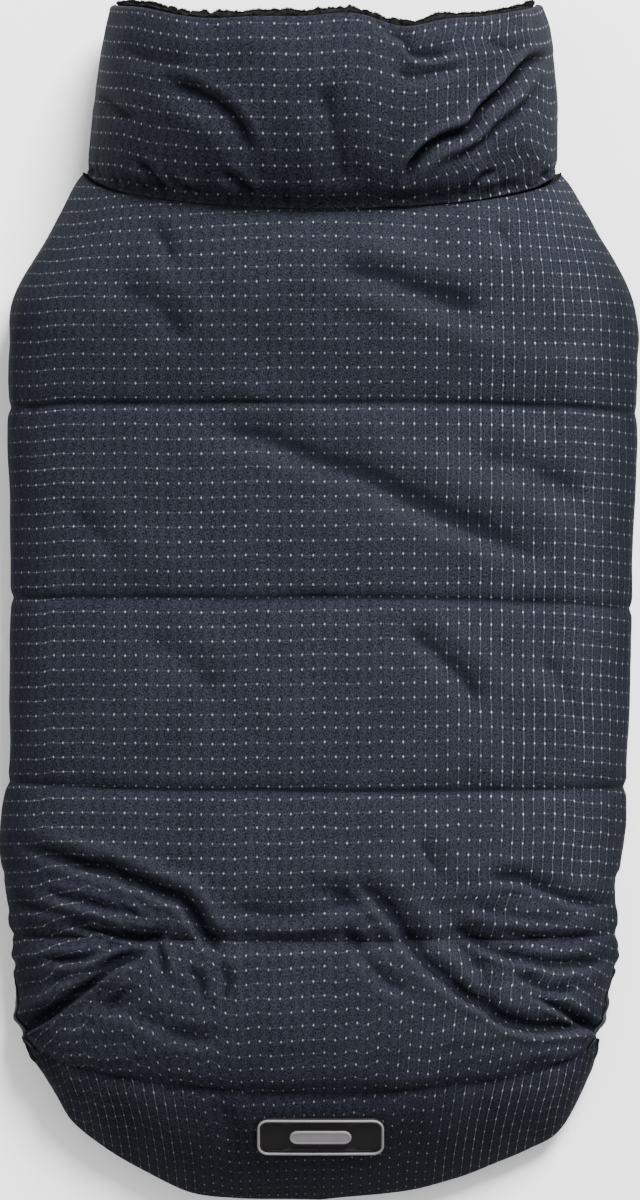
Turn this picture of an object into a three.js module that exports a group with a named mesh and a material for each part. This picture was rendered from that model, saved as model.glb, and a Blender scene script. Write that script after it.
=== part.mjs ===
// A padded winter coat for a dog, laid on its belly on a flat surface with its back up and its collar
// standing open. Millimetres, +Z up, +Y towards the collar, +X to the coat's own right. The origin is on
// the surface that the coat rests on, under the middle of its outline.
import * as THREE from "three";

// Cloth thicknesses and the space left at a seam
const padWall = 7;
const hemWall = 3.5;
const collarWall = 3.5;
const bellyWall = 6;
const pileThickness = 3.2;
const pileShows = 1.6;
const seamGap = 0.3;

// The move that puts the middle of the outline over the origin. The tables below are from before it
const centring = { x: 0.5, y: 1.2 };

// The neck seam and the collar's rim lean back, from the side point to the crown. The rim also falls back
// under the throat
const neckSeam = { side: 170, lean: 19.4 };
const collarRim = { side: 236, lean: 14, throat: 11 };
const rearCorner = -176;

// The back's side outline, seen from above, from the neck seam to the rear corners
const outline = [
  { y: 170, left: 95, right: 96 },
  { y: 149, left: 106.5, right: 108 },
  { y: 128, left: 118.5, right: 119.5 },
  { y: 116, left: 122.5, right: 124 },
  { y: 97, left: 123.2, right: 126 },
  { y: 66, left: 124, right: 125.4 },
  { y: 31, left: 123.2, right: 124.2 },
  { y: -3, left: 123, right: 123.6 },
  { y: -37, left: 123.6, right: 122.4 },
  { y: -70, left: 124.2, right: 121.8 },
  { y: -92, left: 127, right: 120.6 },
  { y: -116, left: 125, right: 116.6 },
  { y: -134, left: 123.4, right: 119.6 },
  { y: -152, left: 120.8, right: 115.6 },
  { y: -163, left: 121.8, right: 114.2 },
  { y: -176, left: 118, right: 112 },
];

// The back's middle line, seen from the side: its height, and the height of each section's widest point
const backLine = [
  { y: 151, crown: 73, edge: 20 },
  { y: 128, crown: 74, edge: 19 },
  { y: 104, crown: 69, edge: 18 },
  { y: 73, crown: 63.5, edge: 17 },
  { y: 34, crown: 60, edge: 16 },
  { y: -44, crown: 59, edge: 16 },
  { y: -122, crown: 57.5, edge: 16 },
  { y: -161, crown: 55, edge: 15 },
  { y: -184, crown: 50, edge: 14 },
  { y: -200, crown: 43, edge: 12.5 },
  { y: -215, crown: 33, edge: 11 },
  { y: -227, crown: 22, edge: 10 },
  { y: -239, crown: 9, edge: 9 },
];

// The rear hem: how far it reaches behind the rear corners, at each share of the half-width
const hemReach = 63;
const hemCurve = [
  { share: 0, left: 1, right: 1 },
  { share: 0.3, left: 0.99, right: 0.945 },
  { share: 0.45, left: 0.95, right: 0.885 },
  { share: 0.6, left: 0.81, right: 0.79 },
  { share: 0.75, left: 0.645, right: 0.675 },
  { share: 0.85, left: 0.48, right: 0.57 },
  { share: 0.92, left: 0.25, right: 0.37 },
  { share: 0.97, left: 0.11, right: 0.17 },
  { share: 1, left: 0, right: 0 },
];

// Rows of quilting that cross the back, with the puff of the channel in front of each. The last one bows
// to the rear corners
const quiltLines = [
  { y: 77, bow: 0, puff: 3.2, rows: 8 },
  { y: 1.5, bow: 0, puff: 3.2, rows: 6 },
  { y: -73.5, bow: 0, puff: 3.2, rows: 6 },
  { y: -131.8, bow: 0, puff: 2.8, rows: 6 },
  { y: -172, bow: 20, puff: 2.6, rows: 7 },
];
const hemBand = { puff: 1.6, rows: 6 };

// Collar sections from the neck seam (0) to the rim (1)
const collarSections = [
  { along: 0, left: 92.6, right: 93.6, crown: 73, edge: 20 },
  { along: 0.12, left: 92.4, right: 93.8, crown: 84, edge: 22 },
  { along: 0.32, left: 90.6, right: 93.6, crown: 94, edge: 24 },
  { along: 0.6, left: 88, right: 92, crown: 100, edge: 25 },
  { along: 0.85, left: 85, right: 90.4, crown: 100, edge: 25 },
  { along: 1, left: 82.6, right: 87, crown: 97, edge: 25 },
];
const collarRows = 13;
const liningRows = 8;

// Each section tucks under by this much at its sides, so that it meets the flat underside
const sideTuck = 20;

// Dips along the collar's rim, seen from above, where the cloth folds
const rimDips = [
  { x: -50, depth: 1.6, reach: 18 },
  { x: 34, depth: 3.6, reach: 14 },
];

// The largest folds, as troughs on a bend from start through middle to end, seen from above
const collarFolds = [
  { x0: 88, y0: 212, x1: 66, y1: 188, x2: 34, y2: 162, depth: 6, width: 8.5 },
  { x0: 0, y0: 208, x1: 4, y1: 188, x2: 8, y2: 160, depth: 3.5, width: 10 },
  { x0: -62, y0: 200, x1: -40, y1: 192, x2: -27, y2: 162, depth: 3.5, width: 8 },
  { x0: 24, y0: 216, x1: 46, y1: 208, x2: 66, y2: 209, depth: 3, width: 7 },
];
const backFolds = [
  { x0: -112, y0: -98, x1: -78, y1: -106, x2: -48, y2: -128, depth: 4.4, width: 8 },
  { x0: -114, y0: -172, x1: -88, y1: -160, x2: -76, y2: -144, depth: 4.6, width: 7 },
  { x0: -96, y0: -130, x1: -74, y1: -137, x2: -58, y2: -136, depth: 3, width: 6 },
  { x0: 26, y0: -119, x1: 38, y1: -134, x2: 48, y2: -154, depth: 3.4, width: 9 },
  { x0: 64, y0: -136, x1: 86, y1: -146, x2: 110, y2: -139, depth: 4, width: 7 },
  { x0: 66, y0: -160, x1: 84, y1: -171, x2: 106, y2: -168, depth: 4.6, width: 7 },
  { x0: 74, y0: -104, x1: 88, y1: -113, x2: 104, y2: -117, depth: 3, width: 8 },
  { x0: -8, y0: 62, x1: 30, y1: 48, x2: 66, y2: 27, depth: 2.6, width: 11 },
];

// The underside panel and its two openings for the front legs
const legOpening = { x: 58, y: 104, halfWidth: 24, halfLength: 31 };
const bellyRear = { side: -171, middle: -112 };

// The moulded label on the hem band, measured along the cloth
const label = { x: 0.6, y: -208.3, halfWidth: 25, halfHeight: 8.9, corner: 4.6, thickness: 1.1 };
const labelRim = { width: 1.1, rise: 0.7 };
const labelBar = { halfLength: 12, halfHeight: 3.1, rise: 0.6 };

// The smooth strips that show beside the rear corners
const gusset = { from: 4.3, to: 5.1, startTurn: 74, endTurn: 140, thickness: 1.4 };

const radians = THREE.MathUtils.degToRad;
const lerp = THREE.MathUtils.lerp;

// The value of one column of a table at a place along another column, on a smooth curve through the rows.
function sampled(table, key, column, at) {
  const rising = table[0][key] < table[table.length - 1][key];
  const rows = rising ? table : [...table].reverse();
  if (at <= rows[0][key]) return rows[0][column];
  if (at >= rows[rows.length - 1][key]) return rows[rows.length - 1][column];
  const i = rows.findIndex((row) => row[key] > at) - 1;
  const slope = (j) => {
    const before = rows[Math.max(j - 1, 0)];
    const after = rows[Math.min(j + 1, rows.length - 1)];
    return (after[column] - before[column]) / (after[key] - before[key]);
  };
  const span = rows[i + 1][key] - rows[i][key];
  const t = (at - rows[i][key]) / span;
  const rise = rows[i + 1][column] - rows[i][column];
  return (
    rows[i][column] +
    rise * t * t * (3 - 2 * t) +
    span * t * (1 - t) * (slope(i) * (1 - t) - slope(i + 1) * t)
  );
}

// A point of a section, by its turn from the crown: 90 degrees is its widest point, 180 the tuck's end.
function sectionPoint(turn, half, crown, edge) {
  const angle = radians(Math.abs(turn));
  const side = Math.sign(turn);
  if (Math.abs(turn) <= 90) {
    return { x: side * half * Math.sin(angle), z: edge + (crown - edge) * Math.cos(angle) };
  }
  return { x: side * (half - sideTuck * (1 - Math.sin(angle))), z: edge * (1 + Math.cos(angle)) };
}

// How much a ring leans at a turn from the crown: 1 at the crown and 0 from the side on.
const leanShare = (turn) => (Math.abs(turn) < 90 ? Math.cos(radians(turn)) : 0);

// How far under the throat a turn is: 0 up to the side and 1 underneath.
const throatShare = (turn) => (Math.abs(turn) > 90 ? Math.cos(radians(turn)) ** 2 : 0);

const neckSeamY = (turn) => neckSeam.side - neckSeam.lean * leanShare(turn);

function hemY(turn) {
  if (Math.abs(turn) >= 90) return rearCorner;
  const share = Math.sin(radians(Math.abs(turn)));
  return rearCorner - hemReach * sampled(hemCurve, "share", turn < 0 ? "left" : "right", share);
}

// The back's lines at one turn: the neck seam, each row of quilting and the hem.
function linesAt(turn) {
  const rows = quiltLines.map((line) => line.y - line.bow * leanShare(turn));
  return [neckSeamY(turn), ...rows, hemY(turn)];
}

// y on the back at a place counted in channels: 0 is the neck seam and 6 the hem.
function backY(turn, channel) {
  const lines = linesAt(turn);
  const i = Math.min(Math.floor(channel), lines.length - 2);
  return lerp(lines[i], lines[i + 1], channel - i);
}

function backBase(turn, channel) {
  const sideY = backY(90, channel);
  const middleY = backY(0, channel);
  const half = sampled(outline, "y", turn < 0 ? "left" : "right", sideY);
  const crown = sampled(backLine, "y", "crown", middleY);
  const edge = sampled(backLine, "y", "edge", middleY);
  const { x, z } = sectionPoint(turn, half, crown, edge);
  return new THREE.Vector3(x, backY(turn, channel), z);
}

function collarBase(turn, along) {
  const half = sampled(collarSections, "along", turn < 0 ? "left" : "right", along);
  const crown = sampled(collarSections, "along", "crown", along);
  const edge = sampled(collarSections, "along", "edge", along);
  const { x, z } = sectionPoint(turn, half, crown, edge);
  const dipAt = (dip) => dip.depth * Math.exp(-(((x - dip.x) / dip.reach) ** 2));
  const fall = rimDips.reduce((sum, dip) => sum + dipAt(dip), collarRim.lean);
  const rimY = collarRim.side - fall * leanShare(turn) - collarRim.throat * throatShare(turn);
  return new THREE.Vector3(x, lerp(neckSeamY(turn) + seamGap, rimY, along), z);
}

// The flat underside of the collar joins the ends of its two tucks. Share runs from right to left.
function collarUnder(share, along) {
  return collarBase(180, along).lerp(collarBase(-180, along), share);
}

// The outward normal of a surface of two parameters.
function normalOf(surface, a, b, lastB) {
  const step = 0.02;
  const alongA = surface(a + step, b).sub(surface(a - step, b));
  const alongB = surface(a, Math.min(b + step, lastB)).sub(surface(a, Math.max(b - step, 0)));
  return new THREE.Vector3().crossVectors(alongB, alongA).normalize();
}

// How deep the folds press a point in, by its distance from each fold's bend. They fade on the tuck.
function foldDepth(folds, point, turn) {
  const fade = THREE.MathUtils.smoothstep(118 - Math.abs(turn), 0, 40);
  let depth = 0;
  for (const fold of folds) {
    const start = new THREE.Vector2(fold.x0, fold.y0);
    const end = new THREE.Vector2(fold.x2, fold.y2);
    const middle = new THREE.Vector2(fold.x1, fold.y1).multiplyScalar(2);
    middle.sub(start.clone().add(end).divideScalar(2));
    const bend = new THREE.QuadraticBezierCurve(start, middle, end);
    let nearest = Infinity;
    let taper = 0;
    const steps = 16;
    for (let i = 0; i <= steps; i++) {
      const distance = bend.getPoint(i / steps).distanceTo(new THREE.Vector2(point.x, point.y));
      if (distance < nearest) {
        nearest = distance;
        taper = 0.35 + 0.65 * Math.sin((Math.PI * i) / steps);
      }
    }
    depth += fold.depth * taper * Math.exp(-((nearest / fold.width) ** 2));
  }
  return depth * fade;
}

// The puff of the padding: round over a channel, nothing on a stitched row or under the coat.
function quiltPuff(turn, channel) {
  const i = Math.min(Math.floor(channel), quiltLines.length);
  const { puff } = i < quiltLines.length ? quiltLines[i] : hemBand;
  const fade = THREE.MathUtils.smoothstep(110 - Math.abs(turn), 0, 60);
  return puff * Math.sqrt(Math.max(Math.sin(Math.PI * (channel - i)), 0)) * fade;
}

function padWallAt(channel) {
  const thinning = THREE.MathUtils.smoothstep(channel, quiltLines.length, quiltLines.length + 0.5);
  return lerp(padWall, hemWall, thinning);
}

// A point of the back, moved out along its normal by lift from the base form, with the folds pressed in.
function backSurface(turn, channel, lift) {
  const base = backBase(turn, channel);
  const last = quiltLines.length + 1;
  const normal = normalOf(backBase, turn, channel, last);
  return base.addScaledVector(normal, lift - foldDepth(backFolds, base, turn));
}

const backOuter = (turn, channel) => backSurface(turn, channel, quiltPuff(turn, channel));

// A point of the collar at a place in its ring: a turn, or a share of the flat underside.
function collarSurface(place, along, lift) {
  if (place.under !== undefined) {
    const base = collarUnder(place.under, along);
    base.z -= lift;
    return base;
  }
  const base = collarBase(place.turn, along);
  const normal = normalOf(collarBase, place.turn, along, 1).negate();
  return base.addScaledVector(normal, lift - foldDepth(collarFolds, base, place.turn));
}

const range = (count, first, last) => {
  return Array.from({ length: count + 1 }, (_, i) => lerp(first, last, i / count));
};

// Triangles of a grid of points. The face looks along rows x columns, or with flip the other way.
function addGrid(triangles, grid, flip) {
  for (let r = 0; r + 1 < grid.length; r++) {
    for (let c = 0; c + 1 < grid[r].length; c++) {
      const [a, b, d, e] = [grid[r][c], grid[r][c + 1], grid[r + 1][c + 1], grid[r + 1][c]];
      if (flip) triangles.push([a, d, b], [a, e, d]);
      else triangles.push([a, b, d], [a, d, e]);
    }
  }
}

// Triangles that join two edges, which may have different numbers of points.
function addStrip(triangles, outer, inner) {
  let i = 0;
  let j = 0;
  while (i + 1 < outer.length || j + 1 < inner.length) {
    const outerNext = i + 1 < outer.length ? (i + 1) / (outer.length - 1) : Infinity;
    const innerNext = j + 1 < inner.length ? (j + 1) / (inner.length - 1) : Infinity;
    if (outerNext <= innerNext) {
      triangles.push([outer[i + 1], outer[i], inner[j]]);
      i++;
    } else {
      triangles.push([inner[j], inner[j + 1], outer[i]]);
      j++;
    }
  }
}

function geometryFrom(triangles) {
  const positions = triangles.flatMap((triangle) => triangle.flatMap((point) => point.toArray()));
  const geometry = new THREE.BufferGeometry();
  geometry.setAttribute("position", new THREE.Float32BufferAttribute(positions, 3));
  geometry.computeVertexNormals();
  return geometry;
}

const column = (grid, c) => grid.map((row) => row[c]);

// A wall between an outer and an inner grid of points, closed round its four edges.
function wallGeometry(outer, inner) {
  const triangles = [];
  const lastColumn = (grid) => grid[0].length - 1;
  addGrid(triangles, outer, true);
  addGrid(triangles, inner, false);
  addStrip(triangles, [...outer[0]].reverse(), [...inner[0]].reverse());
  addStrip(triangles, outer[outer.length - 1], inner[inner.length - 1]);
  addStrip(triangles, column(outer, 0), column(inner, 0));
  const lastOuter = column(outer, lastColumn(outer)).reverse();
  const lastInner = column(inner, lastColumn(inner)).reverse();
  addStrip(triangles, lastOuter, lastInner);
  return geometryFrom(triangles);
}

// A tube wall: the last column of each grid is its first one again.
function tubeGeometry(outer, inner) {
  const triangles = [];
  addGrid(triangles, outer, true);
  addGrid(triangles, inner, false);
  addStrip(triangles, [...outer[0]].reverse(), [...inner[0]].reverse());
  addStrip(triangles, outer[outer.length - 1], inner[inner.length - 1]);
  return geometryFrom(triangles);
}

// Grid rows counted in channels, so that each row of quilting falls on a row of points.
const channelRows = [...quiltLines, hemBand].flatMap(({ rows }, i) => {
  return range(rows, i, i + 1).slice(i ? 1 : 0);
});

const overTurns = range(36, -90, 90);
const backTurns = [...range(6, -180, -90), ...overTurns.slice(1), ...range(6, 90, 180).slice(1)];
const innerTurns = backTurns.filter((_, i) => i % 2 === 0);

function backPanel() {
  const outer = channelRows.map((channel) => backTurns.map((turn) => backOuter(turn, channel)));
  const inner = channelRows.map((channel) =>
    innerTurns.map((turn) => backSurface(turn, channel, -padWallAt(channel))),
  );
  return wallGeometry(outer, inner);
}

const collarPlaces = [
  ...range(54, -180, 180).map((turn) => ({ turn })),
  ...range(6, 0, 1).slice(1, -1).map((under) => ({ under })),
  { turn: -180 },
];

function collarGrid(alongs, lift) {
  return alongs.map((along) => {
    const row = collarPlaces.slice(0, -1).map((place) => collarSurface(place, along, lift));
    return [...row, row[0]];
  });
}

function collar() {
  const alongs = range(collarRows, 1, 0);
  return tubeGeometry(collarGrid(alongs, 0), collarGrid(alongs, -collarWall));
}

// Moves one row of a grid on past its neighbour, so that the pile stands out of the cloth's edge.
function extendRow(row, neighbour, length) {
  row.forEach((point, c) => {
    const away = new THREE.Vector3().subVectors(point, neighbour[c]);
    point.add(away.setLength(length));
  });
}

// The pile lining shows at the rim of the collar and stands a little past it.
function collarLining() {
  const alongs = range(collarRows, 1, 0).slice(0, liningRows + 1);
  const lift = collarWall + seamGap;
  const grids = [collarGrid(alongs, -lift), collarGrid(alongs, -lift - pileThickness)];
  for (const grid of grids) {
    grid[0][grid[0].length - 1] = grid[0][0].clone();
    extendRow(grid[0], grid[1], pileShows);
  }
  return tubeGeometry(grids[0], grids[1]);
}

// The pile lining shows along the rear hem and stands a little past it.
function hemLining() {
  const turns = innerTurns.filter((turn) => Math.abs(turn) < 88);
  const rows = channelRows.filter((channel) => channel > quiltLines.length + 0.49);
  const grid = (lift) => {
    const points = rows.map((channel) => turns.map((turn) => backSurface(turn, channel, -lift)));
    extendRow(points[rows.length - 1], points[rows.length - 2], pileShows);
    return points;
  };
  const lift = hemWall + seamGap;
  return wallGeometry(grid(lift), grid(lift + pileThickness));
}

// The underside panel lies flat between the ends of the back's tucks, with its two leg openings.
function bellyPanel() {
  const front = neckSeam.side - seamGap;
  const edgeX = (y, side) => sampled(outline, "y", side, y) - sideTuck - seamGap;
  const rowYs = channelRows.map((channel) => backY(90, channel));
  const ys = [front, ...rowYs.filter((y) => y < front && y > bellyRear.side), bellyRear.side];
  const rearEdge = range(16, -1, 1).slice(1, -1).map((share) => {
    const x = share * edgeX(bellyRear.side, share < 0 ? "left" : "right");
    return new THREE.Vector2(x, lerp(bellyRear.middle, bellyRear.side, Math.abs(share) ** 2.4));
  });
  const shape = new THREE.Shape([
    ...ys.map((y) => new THREE.Vector2(-edgeX(y, "left"), y)),
    ...rearEdge,
    ...[...ys].reverse().map((y) => new THREE.Vector2(edgeX(y, "right"), y)),
  ]);
  for (const side of [-1, 1]) {
    const hole = new THREE.Path();
    const { x, y, halfWidth, halfLength } = legOpening;
    hole.absellipse(side * x, y, halfWidth, halfLength, 0, 2 * Math.PI);
    shape.holes.push(hole);
  }
  return new THREE.ExtrudeGeometry(shape, { depth: bellyWall, bevelEnabled: false, curveSegments: 16 });
}

// A smooth strip over the side of the back, just ahead of a rear corner.
function sideGusset(side) {
  const within = (turn) => turn * side >= gusset.startTurn && turn * side <= gusset.endTurn;
  const turns = backTurns.filter(within);
  const rows = channelRows.filter((channel) => channel >= gusset.from && channel <= gusset.to);
  const pointAt = (turn, channel, lift) => {
    return backSurface(turn, channel, quiltPuff(turn, channel) + lift);
  };
  const grid = (lift) => rows.map((channel) => turns.map((turn) => pointAt(turn, channel, lift)));
  return wallGeometry(grid(seamGap + gusset.thickness), grid(seamGap));
}

// The turn and channel of the back under a point seen from above.
function placeOnBack(x, y) {
  let turn = 0;
  let channel = quiltLines.length + 0.5;
  for (let i = 0; i < 12; i++) {
    const lines = linesAt(turn);
    const rear = lines.length - 1;
    channel = rear - 1 + (lines[rear - 1] - y) / (lines[rear - 1] - lines[rear]);
    const half = sampled(outline, "y", x < 0 ? "left" : "right", backY(90, channel));
    turn = THREE.MathUtils.radToDeg(Math.asin(x / half));
  }
  return { turn, channel };
}

// A point on the label's cloth, by its place on the label and its height over the cloth.
function onHemBand(u, v, lift) {
  const centre = placeOnBack(label.x, label.y);
  const slope = normalOf(backBase, centre.turn, centre.channel, quiltLines.length + 1).z;
  const { turn, channel } = placeOnBack(label.x + u, label.y + v * slope);
  return backSurface(turn, channel, quiltPuff(turn, channel) + lift);
}

// Points round a rectangle with round corners, one list for each height, from its half sizes.
function roundedOutline(halfWidth, halfHeight, corner, count) {
  const shape = new THREE.Shape();
  const [w, h, r] = [halfWidth, halfHeight, corner];
  shape.moveTo(w - r, -h);
  shape.absarc(w - r, -h + r, r, -Math.PI / 2, 0);
  shape.absarc(w - r, h - r, r, 0, Math.PI / 2);
  shape.absarc(-w + r, h - r, r, Math.PI / 2, Math.PI);
  shape.absarc(-w + r, -h + r, r, Math.PI, 1.5 * Math.PI);
  shape.closePath();
  return shape.getSpacedPoints(count);
}

// A thin plate that follows the hem band, from rings that shrink towards its middle or to a hole.
function bentPlate(outlinePoints, shrinks, low, high) {
  const ringAt = (shrink, lift) => {
    return outlinePoints.map((p) => onHemBand(p.x * shrink.x, p.y * shrink.y, lift));
  };
  const top = shrinks.map((shrink) => ringAt(shrink, high));
  const bottom = shrinks.map((shrink) => ringAt(shrink, low));
  const triangles = [];
  const ring = [...[...top].reverse(), ...bottom];
  const closed = shrinks[shrinks.length - 1].x > 0;
  const grid = closed ? [...ring, ring[0]] : ring;
  addGrid(triangles, grid, true);
  return geometryFrom(triangles.filter(([a, b, c]) => !a.equals(b) && !b.equals(c) && !a.equals(c)));
}

const clothMaterial = new THREE.MeshStandardMaterial({ color: 0x2a303c, roughness: 0.62, metalness: 0 });
const plainMaterial = new THREE.MeshStandardMaterial({ color: 0x17181b, roughness: 0.8, metalness: 0 });
const pileMaterial = new THREE.MeshStandardMaterial({ color: 0x15161a, roughness: 1, metalness: 0 });
const rubberMaterial = new THREE.MeshStandardMaterial({ color: 0x232122, roughness: 0.6, metalness: 0 });
const silverMaterial = new THREE.MeshStandardMaterial({ color: 0x9b979c, roughness: 0.45, metalness: 0.1 });

const coat = new THREE.Group();

function addPiece(name, geometry, material) {
  geometry.translate(centring.x, centring.y, 0);
  const mesh = new THREE.Mesh(geometry, material);
  mesh.name = name;
  coat.add(mesh);
}

addPiece("back_panel", backPanel(), clothMaterial);
addPiece("collar", collar(), clothMaterial);
addPiece("collar_lining", collarLining(), pileMaterial);
addPiece("hem_lining", hemLining(), pileMaterial);
addPiece("belly_panel", bellyPanel(), plainMaterial);
addPiece("side_gusset_left", sideGusset(-1), plainMaterial);
addPiece("side_gusset_right", sideGusset(1), plainMaterial);

const labelOutline = roundedOutline(label.halfWidth, label.halfHeight, label.corner, 36);
const solidShrinks = [1, 0.6, 0].map((share) => ({ x: share, y: share }));
const labelTop = seamGap + label.thickness;
addPiece("label", bentPlate(labelOutline, solidShrinks, seamGap, labelTop), rubberMaterial);

const rimOuter = { x: 1 - 0.4 / label.halfWidth, y: 1 - 0.4 / label.halfHeight };
const rimInner = {
  x: rimOuter.x - labelRim.width / label.halfWidth,
  y: rimOuter.y - labelRim.width / label.halfHeight,
};
const rimLow = labelTop + seamGap;
const labelRimGeometry = bentPlate(labelOutline, [rimOuter, rimInner], rimLow, rimLow + labelRim.rise);
addPiece("label_rim", labelRimGeometry, silverMaterial);

const barOutline = roundedOutline(labelBar.halfLength, labelBar.halfHeight, labelBar.halfHeight * 0.98, 24);
const barShrinks = [1, 0.5, 0].map((share) => ({ x: share, y: share }));
const labelBarGeometry = bentPlate(barOutline, barShrinks, rimLow, rimLow + labelBar.rise);
addPiece("label_bar", labelBarGeometry, silverMaterial);

export default coat;
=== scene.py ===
import math
import bmesh
import bpy
import numpy as np
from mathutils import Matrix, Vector


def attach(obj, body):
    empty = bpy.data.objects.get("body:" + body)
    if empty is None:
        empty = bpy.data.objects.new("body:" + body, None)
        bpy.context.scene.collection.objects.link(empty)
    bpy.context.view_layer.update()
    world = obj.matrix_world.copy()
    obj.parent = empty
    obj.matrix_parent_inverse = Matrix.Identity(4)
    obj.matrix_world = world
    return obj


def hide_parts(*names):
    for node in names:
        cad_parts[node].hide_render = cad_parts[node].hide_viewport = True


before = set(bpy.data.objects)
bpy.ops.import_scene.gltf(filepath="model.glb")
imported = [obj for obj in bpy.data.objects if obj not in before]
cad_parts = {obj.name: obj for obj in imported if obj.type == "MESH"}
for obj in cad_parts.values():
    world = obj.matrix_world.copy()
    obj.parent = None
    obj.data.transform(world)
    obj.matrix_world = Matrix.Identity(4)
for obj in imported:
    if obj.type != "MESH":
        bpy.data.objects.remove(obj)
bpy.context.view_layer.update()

# The coat's own form, in millimetres, as the solids have it. Shift is what puts its outline over the origin
form = {
    "padWall": 7.0, "hemWall": 3.5, "collarWall": 3.5, "pile": 3.2, "pileShows": 1.6, "floorGap": 0.05,
    "neckSide": 170.0, "neckLean": 19.4, "rimSide": 236.0, "rimLean": 14.0, "collarHeight": 66.0,
    "throat": 11.0, "rearCorner": -176.0, "hemReach": 63.0, "tuck": 20.0, "shift": (0.5, 1.2),
    "eye": (0.4, 0.6, 1900.0),
}

# y, left half-width, right half-width
outline = np.array([
    (170, 93.4, 96), (149, 104.4, 108.4), (128, 117, 120.6), (116, 121.6, 124.8), (97, 122.2, 126),
    (66, 123, 125.4), (31, 121.8, 124.2), (-3, 122, 123.6), (-37, 121.8, 122.4), (-70, 122.8, 121.8),
    (-92, 125.8, 120.6), (-116, 123.6, 116.6), (-134, 121.8, 119.2), (-152, 119.2, 114.8),
    (-163, 119.8, 113.2), (-176, 116.4, 111.6),
], float)

# y, height of the crown, height of the widest point
backLine = np.array([
    (151, 73, 20), (128, 74, 19), (104, 69, 18), (73, 63.5, 17), (34, 60, 16), (-44, 59, 16),
    (-122, 57.5, 16), (-161, 55, 15), (-184, 50, 14), (-200, 43, 12.5), (-215, 33, 11),
    (-227, 22, 10), (-239, 9, 9),
], float)

# share of the half-width, left reach, right reach
hemCurve = np.array([
    (0, 1, 1), (0.3, 0.99, 0.945), (0.45, 0.95, 0.885), (0.6, 0.81, 0.79), (0.75, 0.645, 0.675),
    (0.85, 0.48, 0.57), (0.92, 0.25, 0.37), (0.97, 0.11, 0.17), (1, 0, 0),
], float)

# share of the way up the collar, left and right half-width, crown, widest height
collarLine = np.array([
    (0, 91.6, 93.4, 73, 20), (0.12, 91, 94.2, 84, 22), (0.32, 89.4, 94.4, 94, 24),
    (0.6, 87, 92.8, 100, 25), (0.85, 84.4, 90.8, 100, 25), (1, 82.4, 87.2, 97, 25),
], float)

# Each row of quilting: y, bow, how far its left and right ends sway, and the puff of the channel before it
quilting = np.array([
    (77, 0, 0, -3.0, 3.2), (1.5, 0, 0, -4.4, 3.2), (-73.5, 0, 2.2, 0, 3.2), (-131.8, 0, 0, 0, 2.8),
    (-172, 20, 0, 0, 2.6),
], float)
bandPuff = 1.6
lastChannel = len(quilting) + 1


def curveAt(table, column, at):
    # A smooth curve through a table's rows: a cubic on each span, whose end slopes are those between the
    # neighbours on either side
    rows = table[np.argsort(table[:, 0])]
    xs, ys = rows[:, 0], rows[:, column]
    number = np.arange(len(xs))
    after, before = np.minimum(number + 1, len(xs) - 1), np.maximum(number - 1, 0)
    slope = (ys[after] - ys[before]) / (xs[after] - xs[before])
    i = np.clip(np.searchsorted(xs, at, "right") - 1, 0, len(xs) - 2)
    span = xs[i + 1] - xs[i]
    t = np.clip((at - xs[i]) / span, 0, 1)
    bend = span * t * (1 - t) * (slope[i] * (1 - t) - slope[i + 1] * t)
    inside = (at >= xs[0]) & (at <= xs[-1])
    return ys[i] + (ys[i + 1] - ys[i]) * t * t * (3 - 2 * t) + np.where(inside, bend, 0)


def smoothStep(value, low, high):
    # Nothing below low, one above high, and a smooth rise between
    t = np.clip((value - low) / (high - low), 0, 1)
    return t * t * (3 - 2 * t)


def softNoise(x, y, cellX, cellY, seed):
    # Random values on a lattice, from -1 to 1, joined by smooth steps along both ways
    values = np.random.default_rng(seed).uniform(-1, 1, (97, 89))
    gx, gy = x / cellX + 1000, y / cellY + 1000
    ix, iy = np.floor(gx).astype(int), np.floor(gy).astype(int)
    fx, fy = gx - ix, gy - iy
    fx, fy = fx ** 3 * (fx * (6 * fx - 15) + 10), fy ** 3 * (fy * (6 * fy - 15) + 10)
    at = lambda i, j: values[(ix + i) % 97, (iy + j) % 89]
    near = at(0, 0) * (1 - fx) + at(1, 0) * fx
    far = at(0, 1) * (1 - fx) + at(1, 1) * fx
    return near * (1 - fy) + far * fy


def sectionPoint(turn, half, crown, edge):
    # Up to 90 degrees from the crown an upright half ellipse, then a quarter ellipse that tucks under
    angle, side = np.radians(np.abs(turn)), np.sign(turn)
    over = np.abs(turn) <= 90
    x = np.where(over, half * np.sin(angle), half - form["tuck"] * (1 - np.sin(angle)))
    z = np.where(over, edge + (crown - edge) * np.cos(angle), edge * (1 + np.cos(angle)))
    return side * x, z


def leanShare(turn):
    # How much of a lean at the crown a turn gets: its cosine, and nothing past 90 degrees
    return np.where(np.abs(turn) < 90, np.cos(np.radians(turn)), 0)


def throatShare(turn):
    # How much of the throat's dip a turn gets: its cosine squared past 90 degrees, and nothing above
    return np.where(np.abs(turn) > 90, np.cos(np.radians(turn)) ** 2, 0)


def neckSeamY(turn):
    # The neck seam: a straight line at the sides, drawn back over the crown by its lean
    return form["neckSide"] - form["neckLean"] * leanShare(turn)


def hemY(turn):
    # The rear hem: the line of the rear corners, less a reach that follows its curve across the half-width
    share = np.where(np.abs(turn) < 90, np.sin(np.radians(np.abs(turn))), 1)
    reach = np.where(turn < 0, curveAt(hemCurve, 1, share), curveAt(hemCurve, 2, share))
    return form["rearCorner"] - form["hemReach"] * reach


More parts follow.
